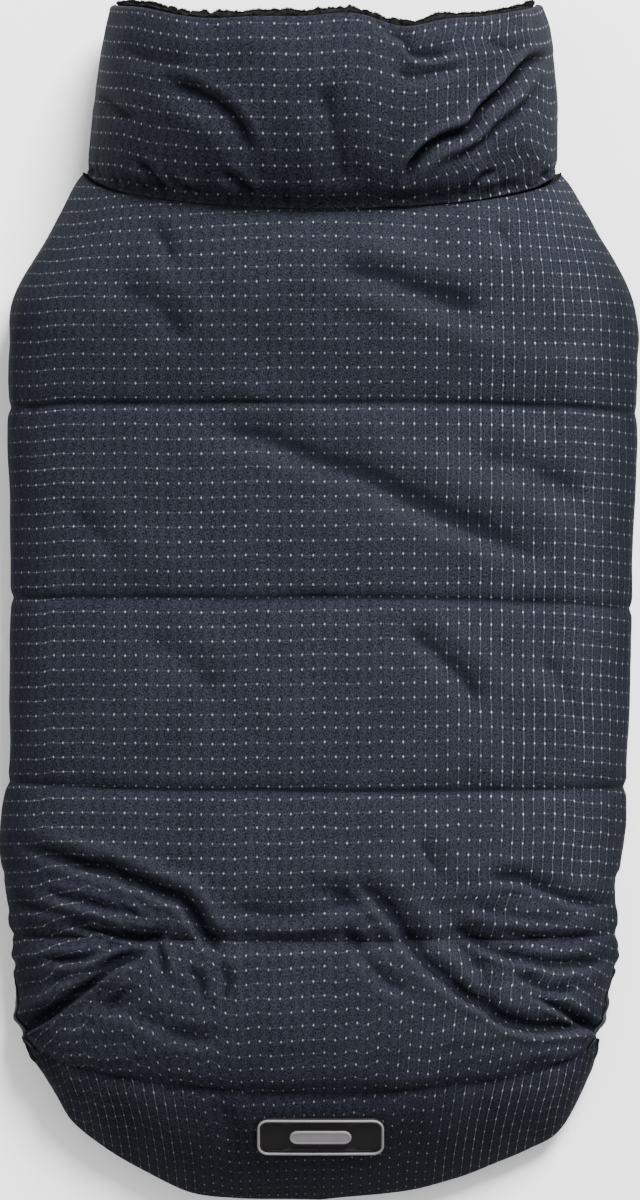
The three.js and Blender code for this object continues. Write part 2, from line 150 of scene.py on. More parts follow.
def linesAt(turn):
    # The lines across the back at one turn: the neck seam, each row of quilting and the hem. A row is its y,
    # less its bow at the crown, plus its sway by the cube of how far out it lies, and a slow waver
    across = np.where(np.abs(turn) < 90, np.sin(np.radians(turn)), np.sign(turn))
    sway = [np.where(across < 0, row[2], row[3]) * np.abs(across) ** 3 for row in quilting]
    waver = [0.55 * softNoise(turn, turn * 0 + 31.0 * row[0], 13, 1, 91) for row in quilting]
    rows = [row[0] - row[1] * leanShare(turn) + s + w for row, s, w in zip(quilting, sway, waver)]
    return np.stack([neckSeamY(turn), *rows, hemY(turn)])


def backY(turn, channel):
    # Where a channel's number lies along the coat: in proportion between the lines either side of it
    lines = linesAt(turn)
    i = np.clip(np.floor(channel).astype(int), 0, lastChannel - 1)
    low = np.take_along_axis(lines, i[None], 0)[0]
    high = np.take_along_axis(lines, i[None] + 1, 0)[0]
    return low + (high - low) * (channel - i)


def backBase(turn, channel):
    # A point of the back's plain form: the section takes its half-width where its side lies along the coat,
    # and its heights where its crown lies
    plain = np.concatenate([[form["neckSide"]], quilting[:, 0], [form["rearCorner"]]])
    middle = np.concatenate([
        [form["neckSide"] - form["neckLean"]], quilting[:, 0] - quilting[:, 1],
        [form["rearCorner"] - form["hemReach"]],
    ])
    steps = np.arange(lastChannel + 1)
    sideY, middleY = np.interp(channel, steps, plain), np.interp(channel, steps, middle)
    half = np.where(turn < 0, curveAt(outline, 1, sideY), curveAt(outline, 2, sideY))
    x, z = sectionPoint(turn, half, curveAt(backLine, 1, middleY), curveAt(backLine, 2, middleY))
    return np.stack([x, backY(turn, channel), z], -1)


rimDips = ((-74, -3.4, 14), (-46, 1.0, 16), (-20, -0.8, 14), (11, -2.2, 15), (34, 3.9, 13), (62, 1.3, 12))


def collarBase(place, along):
    # A point of the collar's plain form: sections up from the neck seam to a rim that leans, dips and sinks at
    # the throat. Place is a turn up to 180 degrees, and from 180 to 220 the flat underside from right to left
    turn = np.clip(place, -180, 180)
    half = np.where(turn < 0, curveAt(collarLine, 1, along), curveAt(collarLine, 2, along))
    x, z = sectionPoint(turn, half, curveAt(collarLine, 3, along), curveAt(collarLine, 4, along))
    under = np.clip((place - 180) / 40, 0, 1)
    left, _ = sectionPoint(np.full_like(turn, -180.0), curveAt(collarLine, 1, along), 90, 20)
    x = x + (left - x) * under
    dips = sum(depth * np.exp(-(((x - at) / reach) ** 2)) for at, depth, reach in rimDips)
    rimY = form["rimSide"] - (form["rimLean"] + dips) * leanShare(turn) - form["throat"] * throatShare(turn)
    low = neckSeamY(turn)
    return np.stack([x, low + (rimY - low) * along, z], -1)


def normalsOf(surface, a, b, stepA, stepB, outward):
    # The cross product of a surface's two directions, each from points a small step either way
    alongA = surface(a + stepA, b) - surface(a - stepA, b)
    alongB = surface(a, b + stepB) - surface(a, b - stepB)
    n = np.cross(alongB, alongA) * outward
    return n / np.maximum(np.linalg.norm(n, axis=-1, keepdims=True), 1e-9)


def smoothPath(points, count):
    # A curve through the points, with each span's slopes taken from its neighbours
    points = np.array(points, float)
    table = np.column_stack([np.arange(len(points)), points])
    at = np.linspace(0, len(points) - 1, count)
    return np.column_stack([curveAt(table, k + 1, at) for k in range(points.shape[1])])


def asSeen(points):
    # Where points fall on the ground plane, as seen from the camera over the coat
    eye = form["eye"]
    scale = eye[2] / (eye[2] - points[..., 2])
    return eye[0] + (points[..., 0] - eye[0]) * scale, eye[1] + (points[..., 1] - eye[1]) * scale


def creaseLift(x, y, creases):
    # Each crease is a trough across its path with a soft lip either side: it presses in by depth, tapers to
    # its ends as a sine, and lifts its lips by a share of the depth. A negative depth is a ridge. Slant widens
    # it on the left of its path and narrows it on the right by that share
    lift = np.zeros_like(x)
    for depth, width, lipLeft, lipRight, slant, path in creases:
        line = smoothPath(path, 12 * len(path))
        reach = max(width * 4.5, 4) * (1 + abs(slant))
        low, high = line.min(0) - reach, line.max(0) + reach
        near = (x > low[0]) & (x < high[0]) & (y > low[1]) & (y < high[1])
        px, py = x[near], y[near]
        best, share, side = np.full(px.shape, 1e9), np.zeros(px.shape), np.zeros(px.shape)
        for k in range(len(line) - 1):
            step = line[k + 1] - line[k]
            t = np.clip(((px - line[k, 0]) * step[0] + (py - line[k, 1]) * step[1]) / (step @ step), 0, 1)
            dx, dy = px - line[k, 0] - t * step[0], py - line[k, 1] - t * step[1]
            d = np.hypot(dx, dy)
            closer = d < best
            best = np.where(closer, d, best)
            share = np.where(closer, (k + t) / (len(line) - 1), share)
            side = np.where(closer, np.sign(step[0] * dy - step[1] * dx), side)
        q = best / (width * (1 + slant * side))
        taper = np.clip(np.sin(np.pi * np.clip(share * 0.94 + 0.03, 0, 1)) * 1.6, 0, 1) ** 0.8
        lips = np.where(side > 0, lipLeft, lipRight) * np.exp(-(((q - 1.75) / 0.85) ** 2))
        lift[near] += depth * taper * (lips - np.exp(-(q ** 1.4)))
    return lift


# depth, width, lip on the left of the path, lip on its right, slant, and the path as seen from above
collarCreases = [
    # the deep fold on the right, with the smaller ones below it
    (5.6, 2.5, 0.15, 0.4, 0.1, [
        (91, 218.5), (84.4, 215.8), (79.6, 210.2), (74.8, 204.6), (68.4, 199), (63.6, 193.4),
        (60.4, 188.6)]),
    (5.0, 2.5, 0.15, 0.4, 0.1, [
        (66, 192), (60.4, 188.6), (55.6, 187), (49.2, 184.6), (42.8, 179.8), (38, 174), (36, 169)]),
    (2.4, 2.4, 0.2, 0.4, 0.2, [
        (88, 206), (81.2, 197.4), (73.2, 191), (68.4, 185.4), (60.4, 179.8), (49, 174)]),
    (1.8, 1.8, 0.4, 0.4, 0.0, [(71, 172), (65.2, 169.4), (60.4, 163.8)]),
    (-1.2, 6.0, 0.0, 0.0, 0.0, [(78, 186), (86, 180), (91, 176)]),
    # below the rim on the right
    (3.0, 3.0, 0.25, 0.4, 0.3, [(24, 230), (34.8, 225.4), (38, 219.8), (46, 219), (57, 221)]),
    (1.8, 3.4, 0.3, 0.3, 0.2, [(30.8, 212.6), (38, 210.2), (49.2, 212.6), (58.8, 214.2)]),
    (1.2, 2.6, 0.4, 0.3, 0.0, [(66, 226), (75, 222), (86, 220)]),
    # left half
    (3.0, 4.4, 0.3, 0.3, -0.3, [(-64, 209), (-47.6, 203), (-34.8, 193.4), (-26, 178)]),
    (1.5, 2.6, 0.4, 0.4, -0.2, [(-89, 203), (-81.2, 197.4), (-74, 192)]),
    (1.7, 1.9, 0.4, 0.4, 0.0, [(-72.4, 176), (-67.6, 171), (-61, 162)]),
    (1.4, 1.7, 0.4, 0.4, 0.0, [(-61.2, 170.2), (-55.6, 166.2), (-50, 163)]),
    (1.9, 2.2, 0.4, 0.4, 0.0, [(-39, 172), (-31.6, 167), (-25, 161)]),
    (1.2, 3.4, 0.3, 0.3, 0.0, [(-80, 222), (-66, 216), (-52, 215)]),
    # the hollow down the middle
    (2.8, 7.0, 0.2, 0.25, 0.0, [(2, 208), (5, 194), (9, 178), (11, 164)]),
    (-1.3, 8.0, 0.0, 0.0, 0.0, [(-62, 226), (-40, 223), (-10, 225)]),
]
backCreases = [
    # shoulder
    (2.0, 6.0, 0.3, 0.5, 0.0, [(6, 136), (28, 130), (50, 122), (64, 116)]),
    (-1.6, 9.0, 0.0, 0.0, 0.0, [(50, 110), (80, 101), (114, 96)]),
    (1.5, 7.0, 0.3, 0.3, 0.0, [(-80, 128), (-62, 118), (-52, 104)]),
    (1.2, 3.5, 0.4, 0.4, 0.0, [(-66, 152), (-60, 143), (-57, 134)]),
    (1.1, 3.5, 0.4, 0.4, 0.0, [(70, 152), (76, 142), (78, 132)]),
    # the long soft diagonal from the first row of quilting
    (2.6, 7.0, 0.35, 0.3, 0.3, [(-48, 69), (-24, 67), (-1, 58), (19, 51), (41, 39), (66, 28), (95, 15)]),
    (1.2, 6.0, 0.3, 0.3, 0.0, [(60, 62), (84, 55), (106, 44)]),
    (1.3, 6.0, 0.3, 0.3, 0.0, [(-100, 40), (-86, 26), (-78, 12)]),
    # middle
    (1.8, 5.0, 0.4, 0.3, 0.2, [(34, -10), (46, -19), (58, -30), (64, -42)]),
    (1.2, 6.5, 0.3, 0.3, 0.0, [(-70, -12), (-52, -22), (-40, -36)]),
    (1.2, 5.0, 0.3, 0.4, 0.0, [(88, -20), (98, -34), (104, -52)]),
    (1.5, 4.0, 0.4, 0.3, 0.3, [(40, -94), (45.2, -104.2), (50, -111)]),
    # soft hollows across the middle of the fourth channel
    (1.9, 5.5, 0.3, 0.3, 0.3, [(-36, -121), (-18, -125), (2, -123), (16, -118)]),
    (1.4, 5.0, 0.3, 0.3, 0.0, [(-8, -112), (8, -116), (20, -124)]),
    # lower left bunch
    (4.2, 3.2, 0.5, 0.3, 0.35, [
        (-117, -98), (-96, -105), (-82, -109), (-62, -117), (-54, -121), (-47, -132), (-40, -140)]),
    (3.0, 2.3, 0.3, 0.4, 0.3, [(-102, -129), (-91, -131.5), (-79, -134), (-70, -135.4), (-62, -133)]),
    (5.4, 2.4, 0.3, 0.4, 0.45, [
        (-121, -174), (-109, -167), (-100.8, -161), (-90.4, -153), (-81.2, -146.2), (-71, -142)]),
    (2.0, 2.2, 0.4, 0.4, 0.2, [(-112, -142), (-98.4, -143.4), (-87.6, -139.8), (-76, -136.5)]),
    (2.2, 2.4, 0.3, 0.4, 0.3, [(-108, -153), (-96, -149.5), (-84, -144.5), (-74, -140)]),
    (1.8, 2.0, 0.4, 0.4, 0.0, [(-66, -135), (-62.8, -142.6), (-61, -150)]),
    (1.7, 2.2, 0.4, 0.4, 0.0, [(-112, -114), (-98, -119), (-84, -122), (-72, -126)]),
    (1.3, 2.0, 0.4, 0.4, 0.0, [(-118, -122), (-104, -124), (-92, -127)]),
    (1.7, 4.2, 0.3, 0.3, 0.2, [(-94, -158.6), (-74.4, -163.8), (-56.4, -171.8), (-40, -175)]),
    (1.4, 2.4, 0.4, 0.4, 0.0, [(-52, -146), (-47, -152), (-46, -160)]),
    (1.2, 2.2, 0.4, 0.4, 0.0, [(-39, -144), (-36, -152), (-37, -160)]),
    # lower right bunch
    (3.8, 4.2, 0.25, 0.4, 0.35, [
        (16, -111.4), (24.8, -120.2), (32, -129), (37.2, -137), (42.8, -144.2), (50.8, -151.4),
        (59, -158.5)]),
    (4.8, 3.2, 0.2, 0.4, 0.5, [
        (52, -152.5), (57.6, -157.8), (66.8, -163), (72, -167.4), (84.4, -171), (100.4, -170.5),
        (112, -170)]),
    (2.9, 3.0, 0.2, 0.4, 0.4, [
        (57, -132), (65, -137), (72, -140.6), (80.8, -142.6), (93.2, -145), (107.6, -145), (116, -142)]),
    (2.6, 4.4, 0.2, 0.3, 0.0, [(56, -135), (62, -143), (66.8, -150), (70, -162)]),
    (2.2, 12.0, 0.1, 0.1, 0.0, [(40, -118), (60, -132), (84, -147), (108, -153)]),
    (2.3, 2.9, 0.3, 0.4, 0.4, [(68, -110), (80, -111.4), (89.6, -115), (100.4, -119.4), (112, -121)]),
    (2.2, 2.0, 0.4, 0.4, 0.3, [(80, -150.4), (88, -154), (94, -156), (102, -155)]),
    (3.2, 1.9, 0.3, 0.4, 0.3, [(85, -157.5), (92, -161), (98.8, -164.6), (106, -169), (114, -174)]),
    (1.1, 2.6, 0.4, 0.4, 0.0, [(60, -121), (72, -124.5), (86, -127), (104, -128)]),
    (1.0, 2.6, 0.4, 0.4, 0.0, [(70, -131), (84, -134.5), (98, -136), (112, -134)]),
    (1.4, 3.0, 0.4, 0.4, 0.0, [(10, -128), (16, -139), (26, -150), (40, -158)]),
    # hem band
    (1.2, 5.0, 0.3, 0.3, 0.0, [(-86, -196), (-76, -206), (-70, -216)]),
    (0.9, 5.0, 0.3, 0.3, 0.0, [(70, -199), (65, -206), (62, -216)]),
    (0.9, 4.0, 0.3, 0.3, 0.0, [(-40, -200), (-34, -212), (-33, -224)]),
]


def paddedTurns(count):
    # Turns spaced so that the points lie evenly round a section in the middle of the back
    turn = np.linspace(-180, 180, 2001)
    x, z = sectionPoint(turn, 123.0, 60.0, 16.0)
    run = np.concatenate([[0], np.cumsum(np.hypot(np.diff(x), np.diff(z)))])
    return np.interp(np.linspace(0, run[-1], count), run, turn)


def channelSteps(counts, crowd):
    # Places along the channels, crowded towards each stitched row by a share
    steps = [0.0]
    for i, n in enumerate(counts):
        s = np.arange(1, n + 1) / n
        steps.extend(i + s - crowd * np.sin(2 * np.pi * s) / (2 * np.pi))
    return np.array(steps)


def arcFrom(points, axis, start):
    # Running length along one way of a grid, counted from its line number start
    step = np.linalg.norm(np.diff(points, axis=axis), axis=-1)
    run = np.concatenate([np.zeros_like(np.take(step, [0], axis)), np.cumsum(step, axis)], axis)
    return run - np.take(run, [start], axis)


def lineAt(values, target):
    # The number of the grid line nearest to a value
    return int(np.argmin(np.abs(values - target)))


def blurred(values, reach):
    # The mean over a square of a grid's points, reach points each way, taken twice
    for axis in (0, 1, 0, 1):
        around = [(reach + 1, reach) if k == axis else (0, 0) for k in (0, 1)]
        run = np.cumsum(np.pad(values, around, mode="edge"), axis)
        first = np.arange(values.shape[axis])
        values = (np.take(run, first + 2 * reach + 1, axis) - np.take(run, first, axis)) / (2 * reach + 1)
    return values


def hollowOf(lift):
    # How far each point lies below its surroundings, near and a little further round
    return blurred(lift, 2) - lift + 0.6 * (blurred(lift, 6) - lift)


def meshFrom(name, points, faces, uv, materials, materialOf=None, hollow=None):
    # Puts points in millimetres and their faces into a mesh, in metres and on the coat's place
    mesh = bpy.data.meshes.new(name)
    flat = points.reshape(-1, 3) + np.array([*form["shift"], 0.0])
    mesh.from_pydata((flat / 1000).tolist(), [], [f for group in faces for f in group.tolist()])
    if uv is not None:
        layer = mesh.uv_layers.new(name="clothMm")
        order = np.zeros(len(mesh.loops), np.int64)
        mesh.loops.foreach_get("vertex_index", order)
        layer.data.foreach_set("uv", uv.reshape(-1, 2)[order].astype(np.float32).ravel())
    if hollow is not None:
        depths = mesh.attributes.new("hollowMm", "FLOAT", "POINT")
        depths.data.foreach_set("value", hollow.astype(np.float32))
    for material in materials:
        mesh.materials.append(material)
    if materialOf is not None:
        mesh.polygons.foreach_set("material_index", materialOf.astype(np.int32))
    mesh.polygons.foreach_set("use_smooth", np.ones(len(mesh.polygons), bool))
    mesh.update()
    mesh.validate()
    piece = bpy.data.objects.new(name, mesh)
    bpy.context.scene.collection.objects.link(piece)
    return piece


def gridQuads(index):
    # The quads of a grid of point numbers, wound so that they look along rows x columns turned over
    return np.stack([index[:-1, :-1], index[1:, :-1], index[1:, 1:], index[:-1, 1:]], -1).reshape(-1, 4)


def shellMesh(name, outer, inner, uv, materials, wrap=False, bandRow=None, hollow=None):
    # A closed wall whose inside has half as many points each way. Both sides meet in the outer grid's edges,
    # and the inside's edge faces take in the edge points that lie between theirs. The first material is for
    # the outside, the last for the inside, and one between them for the outside's rows from bandRow on
    rows, columns = outer.shape[:2]
    top = np.arange(rows * columns).reshape(rows, columns)
    low = inner[::2, ::2]
    bottom = np.arange(low.shape[0] * low.shape[1]).reshape(low.shape[:2]) + top.size
    bottom[0], bottom[-1] = top[0, ::2], top[-1, ::2]
    if wrap:
        top[:, -1] = top[:, 0]
        bottom[0], bottom[-1] = top[0, ::2], top[-1, ::2]
        bottom[:, -1] = bottom[:, 0]
    else:
        bottom[:, 0], bottom[:, -1] = top[::2, 0], top[::2, -1]
    outerFaces = gridQuads(top)
    quads = gridQuads(bottom)[:, ::-1].reshape(bottom.shape[0] - 1, bottom.shape[1] - 1, 4)
    faces, count = [outerFaces], 0
    firstRow, lastRow = top[0, 1::2], top[-1, 1::2]
    firstColumn, lastColumn = top[1::2, 0], top[1::2, -1]
    # each reversed quad runs: (r, c + 1), (r + 1, c + 1), (r + 1, c), (r, c)
    inside = quads[1:-1] if wrap else quads[1:-1, 1:-1]
    faces.append(inside.reshape(-1, 4))
    cells = slice(None) if wrap else slice(1, -1)
    q = quads[0, cells]
    faces.append(np.column_stack([q, firstRow[cells]]))
    q = quads[-1, cells]
    faces.append(np.column_stack([q[:, 0], q[:, 1], lastRow[cells], q[:, 2], q[:, 3]]))
    if not wrap:
        q = quads[1:-1, 0]
        faces.append(np.column_stack([q[:, 0], q[:, 1], q[:, 2], firstColumn[1:-1], q[:, 3]]))
        q = quads[1:-1, -1]
        faces.append(np.column_stack([q[:, 0], lastColumn[1:-1], q[:, 1], q[:, 2], q[:, 3]]))
        q = quads[0, 0]
        faces.append(np.array([[q[0], q[1], q[2], firstColumn[0], q[3], firstRow[0]]]))
        q = quads[0, -1]
        faces.append(np.array([[q[0], lastColumn[0], q[1], q[2], q[3], firstRow[-1]]]))
        q = quads[-1, 0]
        faces.append(np.array([[q[0], q[1], lastRow[0], q[2], firstColumn[-1], q[3]]]))
        q = quads[-1, -1]
        faces.append(np.array([[q[0], lastColumn[-1], q[1], lastRow[-1], q[2], q[3]]]))
    points = np.concatenate([outer.reshape(-1, 3), low.reshape(-1, 3)])
    allUv = np.concatenate([uv.reshape(-1, 2), uv[::2, ::2].reshape(-1, 2)])
    total = sum(len(group) for group in faces)
    materialOf = np.where(np.arange(total) < len(outerFaces), 0, len(materials) - 1)
    if bandRow is not None:
        materialOf[bandRow * (columns - 1): len(outerFaces)] = 1
    if hollow is not None:
        hollow = np.concatenate([hollow.ravel(), np.zeros(low.size // 3)])
    return dropLoose(meshFrom(name, points, faces, allUv, materials, materialOf, hollow))


def dropLoose(piece):
    # Takes out the points that no face uses
    work = bmesh.new()
    work.from_mesh(piece.data)
    bmesh.ops.delete(work, geom=[v for v in work.verts if not v.link_faces], context="VERTS")
    work.to_mesh(piece.data)
    work.free()
    return piece


class Wire:
    # One output of a node, so that shader sums can be written as plain expressions

    def __init__(self, tree, socket):
        self.tree, self.socket = tree, socket

    def sum(self, operation, *values):
        return addNode(self.tree, "ShaderNodeMath", {"operation": operation}, list(values))

    def __add__(self, other): return self.sum("ADD", self, other)
    def __radd__(self, other): return self.sum("ADD", other, self)
    def __sub__(self, other): return self.sum("SUBTRACT", self, other)
    def __rsub__(self, other): return self.sum("SUBTRACT", other, self)
    def __mul__(self, other): return self.sum("MULTIPLY", self, other)
    def __rmul__(self, other): return self.sum("MULTIPLY", other, self)
    def __truediv__(self, other): return self.sum("DIVIDE", self, other)
    def __pow__(self, other): return self.sum("POWER", self, other)
    def __abs__(self): return self.sum("ABSOLUTE", self)
    def floor(self): return self.sum("FLOOR", self)
    def part(self): return self.sum("FRACT", self)
    def wave(self): return self.sum("SINE", self)
    def orMore(self, other): return self.sum("MAXIMUM", self, other)
    def below(self, edge, soft): return rise(self, edge + soft, edge - soft)
    def above(self, edge, soft): return rise(self, edge - soft, edge + soft)


def addNode(tree, kind, settings, values, output=0):
    # Adds a node, sets its settings first and then each socket, by number or name, to a value or a link
    node = tree.nodes.new(kind)
    for key, value in settings.items():
        setattr(node, key, value)
    pairs = values.items() if isinstance(values, dict) else enumerate(values)
    for key, value in pairs:
        if isinstance(value, Wire):
            tree.links.new(value.socket, node.inputs[key])
        else:
            node.inputs[key].default_value = value
    return Wire(tree, node.outputs[output])


def rise(wire, low, high):
    # Nothing below low, one above high, and a smooth rise between, as a node
    values = {"Value": wire, "From Min": low, "From Max": high}
    return addNode(wire.tree, "ShaderNodeMapRange", {"interpolation_type": "SMOOTHSTEP"}, values)


def mixColours(tree, factor, first, second):
    values = {0: factor, 6: first, 7: second}
    return addNode(tree, "ShaderNodeMix", {"data_type": "RGBA"}, values, 2)


def noiseOf(tree, vector, scale, detail=2.0, roughness=0.5):
    values = {"Vector": vector, "Scale": scale, "Detail": detail, "Roughness": roughness}
    return addNode(tree, "ShaderNodeTexNoise", {}, values, "Fac")


def vectorOf(tree, x, y, z=0.0):
    return addNode(tree, "ShaderNodeCombineXYZ", {}, [x, y, z])


def newMaterial(name, fixed):
    # A material with its shader's fixed numbers set on the sockets
    material = bpy.data.materials.new(name)
    material.use_nodes = True
    shader = material.node_tree.nodes["Principled BSDF"]
    for key, value in fixed.items():
        shader.inputs[key].default_value = value
    return material, material.node_tree, shader


def feed(tree, shader, socket, wire):
    tree.links.new(wire.socket, shader.inputs[socket])


def bumpInto(tree, shader, height, distance, strength):
    feed(tree, shader, "Normal", addNode(
        tree, "ShaderNodeBump", {}, {"Height": height, "Distance": distance, "Strength": strength}))


def clothUv(tree):
    # The cloth's own millimetres: both together, then across and along
    spread = tree.nodes.new("ShaderNodeUVMap")
    spread.uv_map = "clothMm"
    split = tree.nodes.new("ShaderNodeSeparateXYZ")
    tree.links.new(spread.outputs[0], split.inputs[0])
    return Wire(tree, spread.outputs[0]), Wire(tree, split.outputs[0]), Wire(tree, split.outputs[1])


# The quilted shell cloth: dark slate blue, with silver dots woven in on a grid
shellCloth = {
    "pitchU": 4.36, "pitchV": 5.7, "dotWidth": 0.31, "dotHeight": 0.46, "dotSoft": 0.13,
    # the darkest tone is the dark of the grain and the print's stripes, and also the painted shade in the
    # creases and on the sides; the speck colour is also the painted highlight on the creases' lips
    "base": (0.0120, 0.0135, 0.0196), "paler": (0.0156, 0.0173, 0.0243), "darkAndShade": (0.0031, 0.0036, 0.0060),
    "dot": (0.215, 0.220, 0.230), "thread": (0.085, 0.090, 0.104), "dash": (0.0020, 0.0024, 0.0036),
    "speck": (0.040, 0.043, 0.052), "bandTone": 0.62, "bandDots": 0.58, "sideFrom": 45.0, "sideTo": 68.0,
    "stripe": 1.25, "edgeFrom": 106.0, "edgeTo": 136.0, "rightFrom": 5.0, "rightTo": 80.0, "weave": 14.0,
    "creaseFrom": 0.1, "creaseTo": 1.6,
}


def shellClothMaterial(name, tint, dotTint, columns, sideColumns):
    # Tint and dotTint darken the cloth and its dots. Columns and sideColumns are how strongly threads join
    # the dots downwards, in the middle and on the sides
    s = {key: tuple(c * tint for c in value) + (1,) if isinstance(value, tuple) else value
         for key, value in shellCloth.items()}
    s["dot"] = tuple(c * dotTint for c in shellCloth["dot"]) + (1,)
    s["thread"] = tuple(c * dotTint for c in shellCloth["thread"]) + (1,)
    s["speck"] = tuple(c * (0.45 + 0.55 * tint) for c in shellCloth["speck"]) + (1,)
    material, tree, shader = newMaterial(name, {"Specular IOR Level": 0.008})
    both, u, v = clothUv(tree)
    across, down = u / s["pitchU"], v / s["pitchV"]
    du, dv = (across.part() - 0.5) * s["pitchU"], (down.part() - 0.5) * s["pitchV"]
    cell = vectorOf(tree, across.floor(), down.floor())
    otherCell = vectorOf(tree, across.floor(), down.floor(), 7.3)
    chance = addNode(tree, "ShaderNodeTexWhiteNoise", {"noise_dimensions": "2D"}, {"Vector": cell}, 0)
    chanceB = addNode(tree, "ShaderNodeTexWhiteNoise", {"noise_dimensions": "3D"}, {"Vector": otherCell}, 0)
    patch = noiseOf(tree, both, 0.022, 2.0)
    tone = noiseOf(tree, both, 0.05, 3.0)
    ovalU, ovalV = du / s["dotWidth"], dv / s["dotHeight"]
    reach = (ovalU * ovalU + ovalV * ovalV) ** 0.5
    toRight = rise(u, s["rightFrom"], s["rightTo"])
    # the silver dots are the cloth's own; towards the right they get a painted highlight, up to half again as
    # bright
    dot = reach.below(1.0, s["dotSoft"] / s["dotWidth"]) * (0.35 + 0.65 * chance) * (0.8 + 0.4 * toRight)
    # faint silver floats that join the dots: along the rows on the left and by both edges, and down the
    # columns on the right
    edge, side = rise(abs(u), 78.0, 108.0), rise(abs(u), s["sideFrom"], s["sideTo"])
    rowThread = abs(dv).below(0.15, 0.1) * (0.20 - 0.14 * toRight + 0.3 * edge) * (0.3 + 0.7 * chanceB)
    downwards = columns + sideColumns * side + 0.55 * toRight * patch.above(0.40, 0.12)
    columnThread = abs(du).below(0.14, 0.1) * downwards * (0.4 + 0.6 * chance)
    # a short black float lies in each column between two dots
    dash = abs(du).below(0.2, 0.1) * abs(dv).above(s["pitchV"] * 0.24, 0.3) * (0.3 + 0.7 * chanceB)
    # a very fine plain weave
    weave = (u * s["weave"]).wave() * (v * s["weave"]).wave()
    grain = noiseOf(tree, vectorOf(tree, u * 1.9, v * 1.2), 1.0, 2.0, 0.7)
    speck = noiseOf(tree, vectorOf(tree, u * 2.3 + 40.0, v * 1.6), 1.0, 2.0, 0.7)
    base = mixColours(tree, tone.above(0.5, 0.25), s["base"], s["paler"])
    base = mixColours(tree, speck.above(0.57, 0.07) * 0.6, base, s["speck"])
    base = mixColours(tree, grain.above(0.55, 0.06), base, s["darkAndShade"])
    # the black floats shade a stripe either side of each column of dots
    base = mixColours(tree, abs(du).below(s["stripe"], 0.6) * 0.22, base, s["darkAndShade"])
    base = mixColours(tree, dash * 0.8, base, s["dash"])
    base = mixColours(tree, rowThread.orMore(columnThread), base, s["thread"])
    base = mixColours(tree, dot, base, s["dot"])
    # painted shade darkens the creases by how far each point lies below its surroundings, and a painted
    # highlight lightens their lips
    hollow = addNode(tree, "ShaderNodeAttribute", {"attribute_name": "hollowMm"}, {}, "Fac")
    base = mixColours(tree, rise(hollow, s["creaseFrom"], s["creaseTo"]) * 0.7, base, s["darkAndShade"])
    base = mixColours(tree, rise(hollow * -1.0, s["creaseFrom"], s["creaseTo"]) * 0.1, base, s["speck"])
    # painted shade darkens the sides and their dots towards the edges, where less light falls
    base = mixColours(tree, rise(abs(u), s["edgeFrom"], s["edgeTo"]) * 0.6, base, s["darkAndShade"])
    feed(tree, shader, "Base Color", base)
    feed(tree, shader, "Roughness", 0.56 + 0.08 * tone - 0.2 * dot)
    height = weave * 0.02 + grain * 0.05 + dot * 0.10 - dash * 0.06
    bumpInto(tree, shader, height, 0.001, 0.35)
    return material


def pileMaterial():
    # Black pile: painted shade between its tufts, where its bump is low, with a coarse and a fine nap
    material, tree, shader = newMaterial("blackPile", {
        "Sheen Weight": 0.015, "Sheen Roughness": 0.6, "Specular IOR Level": 0.01, "Roughness": 0.95})
    place = addNode(tree, "ShaderNodeTexCoord", {}, {}, "Object")
    curls, nap = noiseOf(tree, place, 420.0, 3.0, 0.6), noiseOf(tree, place, 1600.0, 2.0, 0.7)
    shade = (curls * 0.6 + nap * 0.4).above(0.5, 0.12)
    colour = mixColours(tree, shade, (0.0012, 0.0012, 0.0013, 1), (0.0105, 0.0100, 0.0100, 1))
    feed(tree, shader, "Base Color", colour)
    bumpInto(tree, shader, curls * 0.7 + nap * 0.4, 0.0018, 0.9)
    return material


def plainClothMaterial():
    # Plain dark cloth: a fine twill with a worn, uneven tone
    material, tree, shader = newMaterial("plainCloth", {
        "Sheen Weight": 0.03, "Sheen Roughness": 0.5, "Specular IOR Level": 0.06, "Roughness": 0.72})
    both, u, v = clothUv(tree)
    twill = ((u + v) * 9.0).wave()
    grain, tone = noiseOf(tree, both, 2.2, 3.0, 0.6), noiseOf(tree, both, 0.04, 3.0)
    base = mixColours(tree, tone.above(0.5, 0.2), (0.0070, 0.0076, 0.0092, 1), (0.0115, 0.0122, 0.0140, 1))
    base = mixColours(tree, twill.above(0.0, 0.9) * 0.35, base, (0.0022, 0.0026, 0.0034, 1))
    feed(tree, shader, "Base Color", base)
    bumpInto(tree, shader, twill * 0.05 + grain * 0.12, 0.001, 0.4)
    return material


def rubberMaterial():
    # Dark moulded rubber, cloudy and finely grained
    material, tree, shader = newMaterial("labelRubber", {"Specular IOR Level": 0.1})
    place = addNode(tree, "ShaderNodeTexCoord", {}, {}, "Object")
    grain, cloud = noiseOf(tree, place, 2600.0, 2.0), noiseOf(tree, place, 120.0, 3.0)
    colour = mixColours(tree, cloud, (0.0032, 0.0028, 0.0030, 1), (0.0066, 0.0054, 0.0058, 1))
    feed(tree, shader, "Base Color", colour)
    feed(tree, shader, "Roughness", 0.5 + 0.2 * grain)
    bumpInto(tree, shader, grain, 0.0002, 0.35)
    return material


def silverMaterial():
    # Silver-grey moulded rubber for the label's rim and bar
    material, tree, shader = newMaterial("labelSilver", {"Specular IOR Level": 0.2, "Metallic": 0.1})
    place = addNode(tree, "ShaderNodeTexCoord", {}, {}, "Object")
    grain, cloud = noiseOf(tree, place, 2200.0, 2.0), noiseOf(tree, place, 150.0, 3.0)
    colour = mixColours(tree, cloud, (0.115, 0.108, 0.115, 1), (0.165, 0.157, 0.165, 1))
    feed(tree, shader, "Base Color", colour)
    feed(tree, shader, "Roughness", 0.38 + 0.22 * grain)
    bumpInto(tree, shader, grain, 0.0002, 0.3)
    return material


